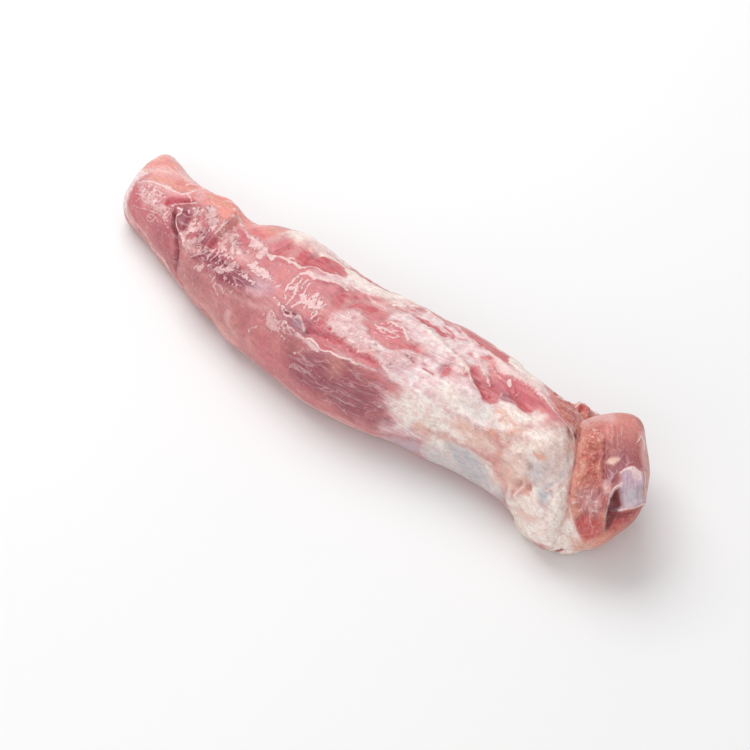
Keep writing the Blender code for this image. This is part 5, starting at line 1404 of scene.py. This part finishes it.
def paint(chart, areas, lines):
    """How much of a finish each place has, with half an area's strength at its edge."""
    amount = np.zeros(len(chart))
    for soft, strength, *corners in areas:
        chosen = near(chart, corners, soft)
        distance = distance_to_path(chart[chosen], corners, closed=True)[0]
        distance = np.where(is_inside(chart[chosen], corners), -distance, distance)
        value = strength * np.clip(0.5 - distance / soft / 2, 0, 1)
        amount[chosen] = np.maximum(amount[chosen], value)
    for half_width, strength, *corners in lines:
        chosen = near(chart, corners, 2 * half_width)
        distance = distance_to_path(chart[chosen], corners)[0]
        value = strength * np.clip(LINE_TOP - LINE_FALL * distance / half_width, 0, 1)
        amount[chosen] = np.maximum(amount[chosen], value)
    return amount


def stroke_relief(chart, ridges, steps):
    """Height that ridges, grooves and steps add."""
    height = np.zeros(len(chart))
    for half_width, top, *corners in ridges:
        chosen = near(chart, corners, RIDGE_REACH * half_width)
        distance, _, along = distance_to_path(chart[chosen], corners)
        ends = smooth_step(np.minimum(along, 1 - along) * RIDGE_TAPER * len(corners) + RIDGE_END)
        height[chosen] += top * ends * np.exp(-((distance / half_width) ** 2))
    for reach, top, *corners in steps:
        chosen = near(chart, corners, STEP_REACH * reach)
        distance, side, along = distance_to_path(chart[chosen], corners)
        ends = smooth_step(np.minimum(along, 1 - along) * STEP_TAPER)
        edge = smooth_step(0.5 + side * distance / STEP_EDGE)
        height[chosen] += top * ends * edge * np.exp(-((distance / reach) ** 2))
    return height


def with_far_side(strokes):
    """The strokes, and those of the near flank again on the far one, which the photo does not show."""
    copies = []
    for width, strength, *corners in strokes:
        if min(across for _, across in corners) > NEAR_FLANK:
            turned = [(x + FAR_SHIFT, FAR_TURN - across) for x, across in corners]
            copies.append((width, strength, *turned))
    return (*strokes, *copies)


def wrinkles(amounts, grain):
    """Small relief of creased film, lumpy fat and granular cut flesh. Each noise has its own seed."""
    creased = lattice_noise(grain * CREASES, 1)
    creased = 1 - np.abs(creased + FINE_CREASE_SHARE * lattice_noise(grain * FINE_CREASES, 2)) * 2
    lumpy = lattice_noise(grain / LUMP_SIZE, 3) + FINE_LUMP_SHARE * lattice_noise(grain / FINE_LUMP_SIZE, 4)
    granular = lattice_noise(grain / GRAIN_SIZE, 5)
    granular = granular + FINE_GRAIN_SHARE * lattice_noise(grain / FINE_GRAIN_SIZE, 6)
    height = CREASE_HEIGHT * amounts["film_and_highlight"] * creased + LUMP_HEIGHT * amounts["fat"] * lumpy
    height += GRAIN_HEIGHT * amounts["grainy"] * granular
    return height + SLOW_HEIGHT * lattice_noise(grain * SLOW_WAVES, 7)


def triples_of(rows, field):
    """The places or directions of a mesh's rows."""
    flat = np.empty(len(rows) * 3)
    rows.foreach_get(field, flat)
    return flat.reshape(-1, 3)


def ball_mesh(name, sides, rings):
    """A ball's quads, and the direction of every vertex."""
    shape = bmesh.new()
    bmesh.ops.create_uvsphere(shape, u_segments=sides, v_segments=rings, radius=1)
    mesh = bpy.data.meshes.new(name)
    shape.to_mesh(mesh)
    shape.free()
    return mesh, triples_of(mesh.vertices, "co")


def place_vertices(mesh, points, rest):
    """Put the vertices there, with what is under the resting height pressed flat."""
    points = points.copy()
    points[:, 2] = np.maximum(points[:, 2], rest)
    mesh.vertices.foreach_set("co", ((points + MOVE) * MM).ravel())
    mesh.update()


def recalculate_normals(mesh):
    shape = bmesh.new()
    shape.from_mesh(mesh)
    bmesh.ops.recalc_face_normals(shape, faces=shape.faces)
    shape.to_mesh(mesh)
    shape.free()


def store(mesh, name, values):
    """Keep a number or a vector for each vertex, for the material to read."""
    kind, field = ("FLOAT", "value") if values.ndim == 1 else ("FLOAT_VECTOR", "vector")
    layer = mesh.attributes.new(name, kind, "POINT")
    layer.data.foreach_set(field, values.astype(np.float32).ravel())


def finish_piece(name, mesh, points, chart, grain, facing, rest):
    """Raise the strokes' relief, store the finishes and return the object."""
    place_vertices(mesh, points, rest)
    recalculate_normals(mesh)
    outwards = triples_of(mesh.vertex_normals, "vector")
    height = stroke_relief(chart, RIDGES.get(name, ()), STEPS.get(name, ())) * facing
    amounts = {}
    for finish, top in HEIGHTS.items():
        areas = with_far_side(AREAS.get((name, finish), ()))
        lines = with_far_side(LINES.get((name, finish), ()))
        amounts[finish] = paint(chart, areas, lines) * facing
        height += top * smooth_step(2 * amounts[finish])
        store(mesh, finish, amounts[finish])
    height += wrinkles(amounts, grain)
    store(mesh, "grain", grain)
    place_vertices(mesh, points + outwards * height[:, None], rest)
    mesh.shade_smooth()
    body = bpy.data.objects.new(name, mesh)
    bpy.context.scene.collection.objects.link(body)
    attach(body, "root")
    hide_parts("tenderloin")
    return body


def make_muscle():
    mesh, directions = ball_mesh("long_muscle", MUSCLE_SIDES, MUSCLE_RINGS)
    share = np.arcsin(np.clip(directions[:, 2], -1, 1)) / math.pi + 0.5
    turn = np.arctan2(directions[:, 1], directions[:, 0])
    angle = math.radians(CROWDED_ANGLE) + turn - CROWDING * np.sin(turn)
    points, x = muscle_points(share, angle)
    way_round = ((angle + math.pi / 2) % (2 * math.pi) - math.pi / 2) * MEAN_RADIUS
    grain = points - np.stack((x * 0, section_at(x)[0], x * 0), 1)
    chart = warped(np.stack((x, way_round), 1), grain, MUSCLE_WANDER)
    return finish_piece("long_muscle", mesh, points, chart, grain, 1, 0)


def make_lump(name, shape):
    mesh, directions = ball_mesh(name, shape["sides"], shape["rings"])
    points = lump_points(shape, directions)
    view, right, up = view_axes()
    grain = np.stack((points @ up, points @ right, points @ view), 1)
    chart = warped(np.stack((points @ right, points @ up), 1), grain, LUMP_WANDER)
    facing = smooth_step((directions @ view - FACING_END) * FACING_RISE)
    return finish_piece(name, mesh, points, chart, grain, facing, shape["rest"])


SCREEN_POWER = 2.2


def tint(red, green, blue):
    """A colour as a shader takes it, from screen values of 0 to 255."""
    return (*[(value / 255) ** SCREEN_POWER for value in (red, green, blue)], 1)


# Flesh under the silver skin, the head's cut flesh, and the fat that the pad is made of
SKIN_TINTS = {
    "calm": tint(200, 128, 130), "warm": tint(208, 138, 134), "deep": tint(178, 104, 112),
    "pale": tint(222, 165, 162), "bare": tint(192, 84, 92),
}
HEAD_TINTS = {
    "calm": tint(188, 112, 110), "warm": tint(196, 122, 112), "deep": tint(160, 85, 85),
    "pale": tint(214, 145, 130), "bare": tint(190, 78, 68),
}
FAT_TINTS = {
    "calm": tint(228, 203, 190), "warm": tint(232, 212, 198), "deep": tint(215, 180, 168),
    "pale": tint(240, 225, 214), "bare": tint(192, 84, 92),
}
# Tints of the finishes that the strokes lay on; pale and strong salmon are partly painted light
SOFT_TINTS = {
    "salmon": tint(236, 148, 138), "rose": tint(203, 101, 111), "purple": tint(142, 66, 82),
    "pale": tint(232, 184, 180), "lilac": tint(208, 178, 192),
}
# Thin tinted films; the blue one is also painted shadow below the fold near the head end
THIN_FILMS = {"blue": tint(190, 186, 190), "amber": tint(222, 158, 138)}
# Cut flesh in red and brown, and its pale tint, which is painted glints
CUT_RED, CUT_BROWN, CUT_GLINT_PALE = tint(190, 88, 80), tint(202, 122, 106), tint(246, 196, 172)
# Milky film tints, which over the middle of the top are painted sheen too
VEIL_PINK, VEIL_WHITE = tint(229, 191, 193), tint(238, 222, 220)
FAT_BEIGE, FAT_CREAM = tint(238, 214, 204), tint(248, 236, 228)
# Rose of bare flesh; white of threads and of painted glints; dark red of dark flesh and of painted shade
BARE_ROSE, THREAD_AND_GLINT_WHITE, DARK_RED_AND_SHADE = tint(212, 118, 120), tint(238, 208, 204), tint(115, 42, 50)
# Painted highlight of the film flakes, and painted shade in the crevices round them
FILM_HIGHLIGHT_PINK, CREVICE_SHADE_ROSE = tint(234, 190, 188), tint(158, 70, 80)
# What is the same all over the wet surface
WET_SURFACE = {
    "Coat Roughness": 0.12, "Coat IOR": 1.6, "Specular IOR Level": 0.35, "Subsurface Weight": 0.1,
    "Subsurface Scale": 0.0015, "Subsurface Radius": (1, 0.35, 0.25),
}
BUMP_STRENGTH, BUMP_DEPTH = 0.8, 0.0005


class Value:
    """A number in a material: sums and products of values add Math nodes."""

    def __init__(self, tree, socket):
        self.tree = tree
        self.socket = socket

    def joined(self, operation, first, second):
        return self.tree.add("ShaderNodeMath", {"operation": operation}, {0: first, 1: second})

    def __add__(self, other):
        return self.joined("ADD", self, other)

    def __sub__(self, other):
        return self.joined("SUBTRACT", self, other)

    def __rsub__(self, other):
        return self.joined("SUBTRACT", other, self)

    def __mul__(self, other):
        return self.joined("MULTIPLY", self, other)

    def __abs__(self):
        return self.tree.add("ShaderNodeMath", {"operation": "ABSOLUTE"}, {0: self})

    __radd__ = __add__
    __rmul__ = __mul__


class Tree:
    """A material's nodes."""

    def __init__(self, name):
        self.material = bpy.data.materials.new(name)
        self.material.use_nodes = True
        self.nodes = self.material.node_tree.nodes
        self.links = self.material.node_tree.links
        self.shader = self.nodes["Principled BSDF"]

    def add(self, kind, settings, sockets, output=0):
        """A node of that kind: its settings, then the values or links of its sockets."""
        node = self.nodes.new(kind)
        for name, value in settings.items():
            setattr(node, name, value)
        for name, value in sockets.items():
            self.feed(node.inputs[name], value)
        return Value(self, node.outputs[output])

    def feed(self, socket, value):
        if isinstance(value, Value):
            self.links.new(value.socket, socket)
        else:
            socket.default_value = value

    def finish(self, sockets):
        """Give the shader's sockets their values or links."""
        for name, value in sockets.items():
            self.feed(self.shader.inputs[name], value)

    def amount(self, name):
        return self.add("ShaderNodeAttribute", {"attribute_name": name}, {}, "Fac")

    def place(self, name, stretch):
        """Places read from a vertex attribute, stretched along each axis."""
        read = self.add("ShaderNodeAttribute", {"attribute_name": name}, {}, "Vector")
        return self.add("ShaderNodeVectorMath", {"operation": "MULTIPLY"}, {0: read, 1: stretch})

    def noise(self, place, size, detail=3, roughness=0.55, swirl=0):
        sockets = {"Vector": place, "Scale": 1 / size, "Detail": detail, "Roughness": roughness,
                   "Distortion": swirl}
        return self.add("ShaderNodeTexNoise", {}, sockets, "Fac")

    def edge(self, value, low, high, top=1):
        """0 below low, top above high, with a smooth rise between."""
        settings = {"interpolation_type": "SMOOTHSTEP"}
        sockets = {"Value": value, "From Min": low, "From Max": high, "To Max": top}
        return self.add("ShaderNodeMapRange", settings, sockets)

    def shade(self, colour, light):
        """The colour made lighter or darker by a number near 1."""
        settings = {"operation": "SCALE"}
        return self.add("ShaderNodeVectorMath", settings, {0: colour, "Scale": light})

    def mix(self, amount, under, over):
        return self.add("ShaderNodeMix", {"data_type": "RGBA"}, {0: amount, 6: under, 7: over}, 2)


def meat_patterns(tree):
    """The noises that the finishes share: round, drawn out along the grain or drawn out across it."""
    plain = tree.place("grain", (1, 1, 1))
    along = tree.place("grain", (0.1, 1, 1))
    across = tree.place("grain", (1, 0.35, 0.35))
    branches = tree.noise(tree.place("grain", (0.3, 1, 1)), 5, 2, 0.5, 0.4)
    return SimpleNamespace(
        fibres=tree.noise(along, 1.2, 4),
        strands=tree.noise(along, 3.6),
        cloud=tree.noise(plain, 13),
        mottle=tree.noise(plain, 3.2),
        speck=tree.noise(plain, 0.9),
        glints_and_pits=tree.noise(plain, 1.2, 2),
        creases=tree.noise(across, 2.2, 4),
        fine=tree.noise(tree.place("grain", (0.45, 1, 1)), 1.5, 2, 0.9),
        shards=tree.noise(tree.place("grain", (1, 0.45, 0.45)), 1.9, 2, 0.5, 1.4),
        web=tree.edge(abs(branches - 0.5), 0.03, 0),
    )


def soft_flesh(tree, pattern, tints):
    """Clouds and fibres of four tints, under the soft tints and the web of thin film in the purple."""
    colour = tree.mix(tree.edge(pattern.cloud, 0.38, 0.62), tints["calm"], tints["warm"])
    colour = tree.mix(tree.edge(pattern.strands, 0.45, 0.7, 0.5), colour, tints["deep"])
    colour = tree.mix(tree.edge(pattern.fibres, 0.48, 0.68, 0.4), colour, tints["pale"])
    uneven = 0.45 + 0.7 * pattern.mottle + 0.4 * pattern.fibres
    # The pale tint is partly painted light, and so is strong salmon
    for finish, over in SOFT_TINTS.items():
        colour = tree.mix(tree.amount(finish) * uneven, colour, over)
    return tree.mix(0.5 * pattern.web * tree.amount("purple"), colour, VEIL_PINK)


def cut_flesh(tree, pattern):
    """Granular flesh where the knife went, with painted glints and the painted shade of small pits."""
    colour = tree.mix(tree.edge(pattern.mottle + 0.5 * pattern.speck, 0.62, 0.86), CUT_RED, CUT_BROWN)
    # Pale specks are painted glints, dark specks the painted shade of small pits
    colour = tree.mix(tree.edge(pattern.glints_and_pits, 0.55, 0.65, 0.6), colour, CUT_GLINT_PALE)
    return tree.mix(tree.edge(pattern.glints_and_pits, 0.42, 0.32, 0.35), colour, DARK_RED_AND_SHADE)


def with_films_and_fat(tree, pattern, colour):
    """The colour under milky film with painted sheen, fat, and thin tinted films; blue is partly painted
    shadow.
    """
    # Milky film, partly painted sheen
    veil_and_sheen = tree.edge(tree.amount("veil_and_sheen") + 0.9 * pattern.fibres + 0.5 * pattern.strands, 0.95, 1.65, 0.95)
    milk = tree.mix(tree.edge(pattern.mottle, 0.4, 0.65), VEIL_PINK, VEIL_WHITE)
    colour = tree.mix(veil_and_sheen, colour, milk)
    fat = tree.edge(tree.amount("fat") + 0.3 * pattern.mottle + 0.15 * pattern.fibres, 0.4, 1.16, 0.96)
    tallow = tree.mix(tree.edge(pattern.mottle + 0.6 * pattern.speck, 0.64, 0.92), FAT_BEIGE, FAT_CREAM)
    colour = tree.mix(fat, colour, tallow)
    for finish, over in THIN_FILMS.items():
        colour = tree.mix(tree.amount(finish) * (0.3 + 1.2 * pattern.mottle), colour, over)
    return colour


def with_marks(tree, pattern, colour, bare):
    """The colour with bare red windows, pale threads and painted glints, and dark marks that are partly
    painted shade.
    """
    red = tree.edge(tree.amount("red") + 0.3 * pattern.creases + 0.35 * pattern.fibres, 0.6, 1.25, 0.9)
    colour = tree.mix(red, colour, tree.mix(tree.edge(pattern.fibres, 0.4, 0.65), bare, BARE_ROSE))
    # White threads, partly painted glints and rim highlights
    thread_and_glint = tree.edge(tree.amount("thread_and_glint") + 0.6 * pattern.speck, 0.75, 1.1, 0.85)
    colour = tree.mix(thread_and_glint, colour, THREAD_AND_GLINT_WHITE)
    # Dark: painted shade in grooves, pits, holes and the slit, partly darker flesh
    dark = tree.edge(tree.amount("dark") + 0.3 * pattern.speck, 0.4, 1.0, 0.85)
    return tree.mix(dark, colour, DARK_RED_AND_SHADE)


def meat_material(name, tints):
    """Wet raw meat: every finish that the strokes lay on, with shiny flakes of film painted pale as
    highlights.
    """
    tree = Tree(name)
    pattern = meat_patterns(tree)
    colour = soft_flesh(tree, pattern, tints)
    grainy = tree.edge(tree.amount("grainy") + 0.5 * pattern.mottle, 0.55, 1.05)
    colour = tree.mix(0.85 * grainy, colour, cut_flesh(tree, pattern))
    colour = with_films_and_fat(tree, pattern, colour)
    colour = with_marks(tree, pattern, colour, tints["bare"])

    # Flakes of film: a painted highlight in the base colour, with a real coat and lower roughness
    shine = 0.95 * tree.amount("film_and_highlight") + 2.4 * pattern.shards
    film_and_highlight = tree.edge(shine, 1.66, 1.73)
    # Painted shade: a dark rose rim in the crevices round the flakes
    crevice_shade = tree.edge(shine, 1.48, 1.66, 0.45) * tree.edge(tree.amount("film_and_highlight"), 0.1, 0.4)
    colour = tree.mix(crevice_shade, colour, CREVICE_SHADE_ROSE)
    colour = tree.mix(0.72 * film_and_highlight, colour, FILM_HIGHLIGHT_PINK)
    colour = tree.shade(colour, 0.6 + 0.76 * pattern.fine)

    height = 0.7 * pattern.fibres + 0.6 * pattern.speck
    height = height + 0.8 * pattern.mottle * grainy + 0.9 * pattern.shards * film_and_highlight
    sockets = {"Height": height, "Strength": BUMP_STRENGTH, "Distance": BUMP_DEPTH}
    bump = tree.add("ShaderNodeBump", {}, sockets, "Normal")
    tree.finish({
        "Base Color": colour, "Normal": bump, "Coat Weight": 0.1 + 0.45 * film_and_highlight,
        "Roughness": 0.4 - 0.12 * film_and_highlight,
    })
    tree.finish(WET_SURFACE)
    return tree.material


def place_aimed(name, data, direction, distance):
    """Put a camera or lamp that way from the target, so that it looks at the target."""
    body = bpy.data.objects.new(name, data)
    body.location = CAMERA_TARGET + distance * Vector(direction).normalized()
    body.rotation_euler = (CAMERA_TARGET - body.location).to_track_quat("-Z", "Y").to_euler()
    bpy.context.scene.collection.objects.link(body)
    return body


def make_camera():
    data = bpy.data.cameras.new("camera")
    data.lens = LENS
    data.sensor_width = SENSOR
    data.clip_end = CAMERA_REACH
    bpy.context.scene.camera = place_aimed("camera", data, view_axes()[0], CAMERA_DISTANCE)


def make_lamp(name, direction, power):
    data = bpy.data.lights.new(name, "AREA")
    data.shape = "RECTANGLE"
    data.size, data.size_y = LAMP_SIZE
    data.energy = power
    place_aimed(name, data, direction, LAMP_DISTANCE)


def make_floor():
    shape = bmesh.new()
    bmesh.ops.create_grid(shape, x_segments=1, y_segments=1, size=FLOOR_HALF)
    mesh = bpy.data.meshes.new("floor")
    shape.to_mesh(mesh)
    shape.free()
    tree = Tree("pale floor")
    tree.finish({
        "Base Color": FLOOR_COLOUR, "Roughness": FLOOR_ROUGHNESS, "Specular IOR Level": FLOOR_SHINE,
    })
    mesh.materials.append(tree.material)
    floor = bpy.data.objects.new("floor", mesh)
    bpy.context.scene.collection.objects.link(floor)


def make_world():
    world = bpy.data.worlds.new("studio")
    world.use_nodes = True
    background = world.node_tree.nodes["Background"]
    background.inputs["Color"].default_value = (1, 1, 1, 1)
    background.inputs["Strength"].default_value = WORLD_STRENGTH
    bpy.context.scene.world = world
    bpy.context.scene.view_settings.view_transform = "Standard"


def main():
    under_skin = meat_material("meat under silver skin", SKIN_TINTS)
    head_meat = meat_material("cut head meat", HEAD_TINTS)
    fat_meat = meat_material("soft fat", FAT_TINTS)
    make_muscle().data.materials.append(under_skin)
    make_lump("head_lobe", LOBE).data.materials.append(head_meat)
    make_lump("side_strip", STRIP).data.materials.append(head_meat)
    make_lump("fat_pad", PAD).data.materials.append(fat_meat)
    make_floor()
    make_camera()
    make_lamp("softbox", SOFTBOX_FROM, SOFTBOX_POWER)
    make_lamp("fill", FILL_FROM, FILL_POWER)
    make_world()


main()
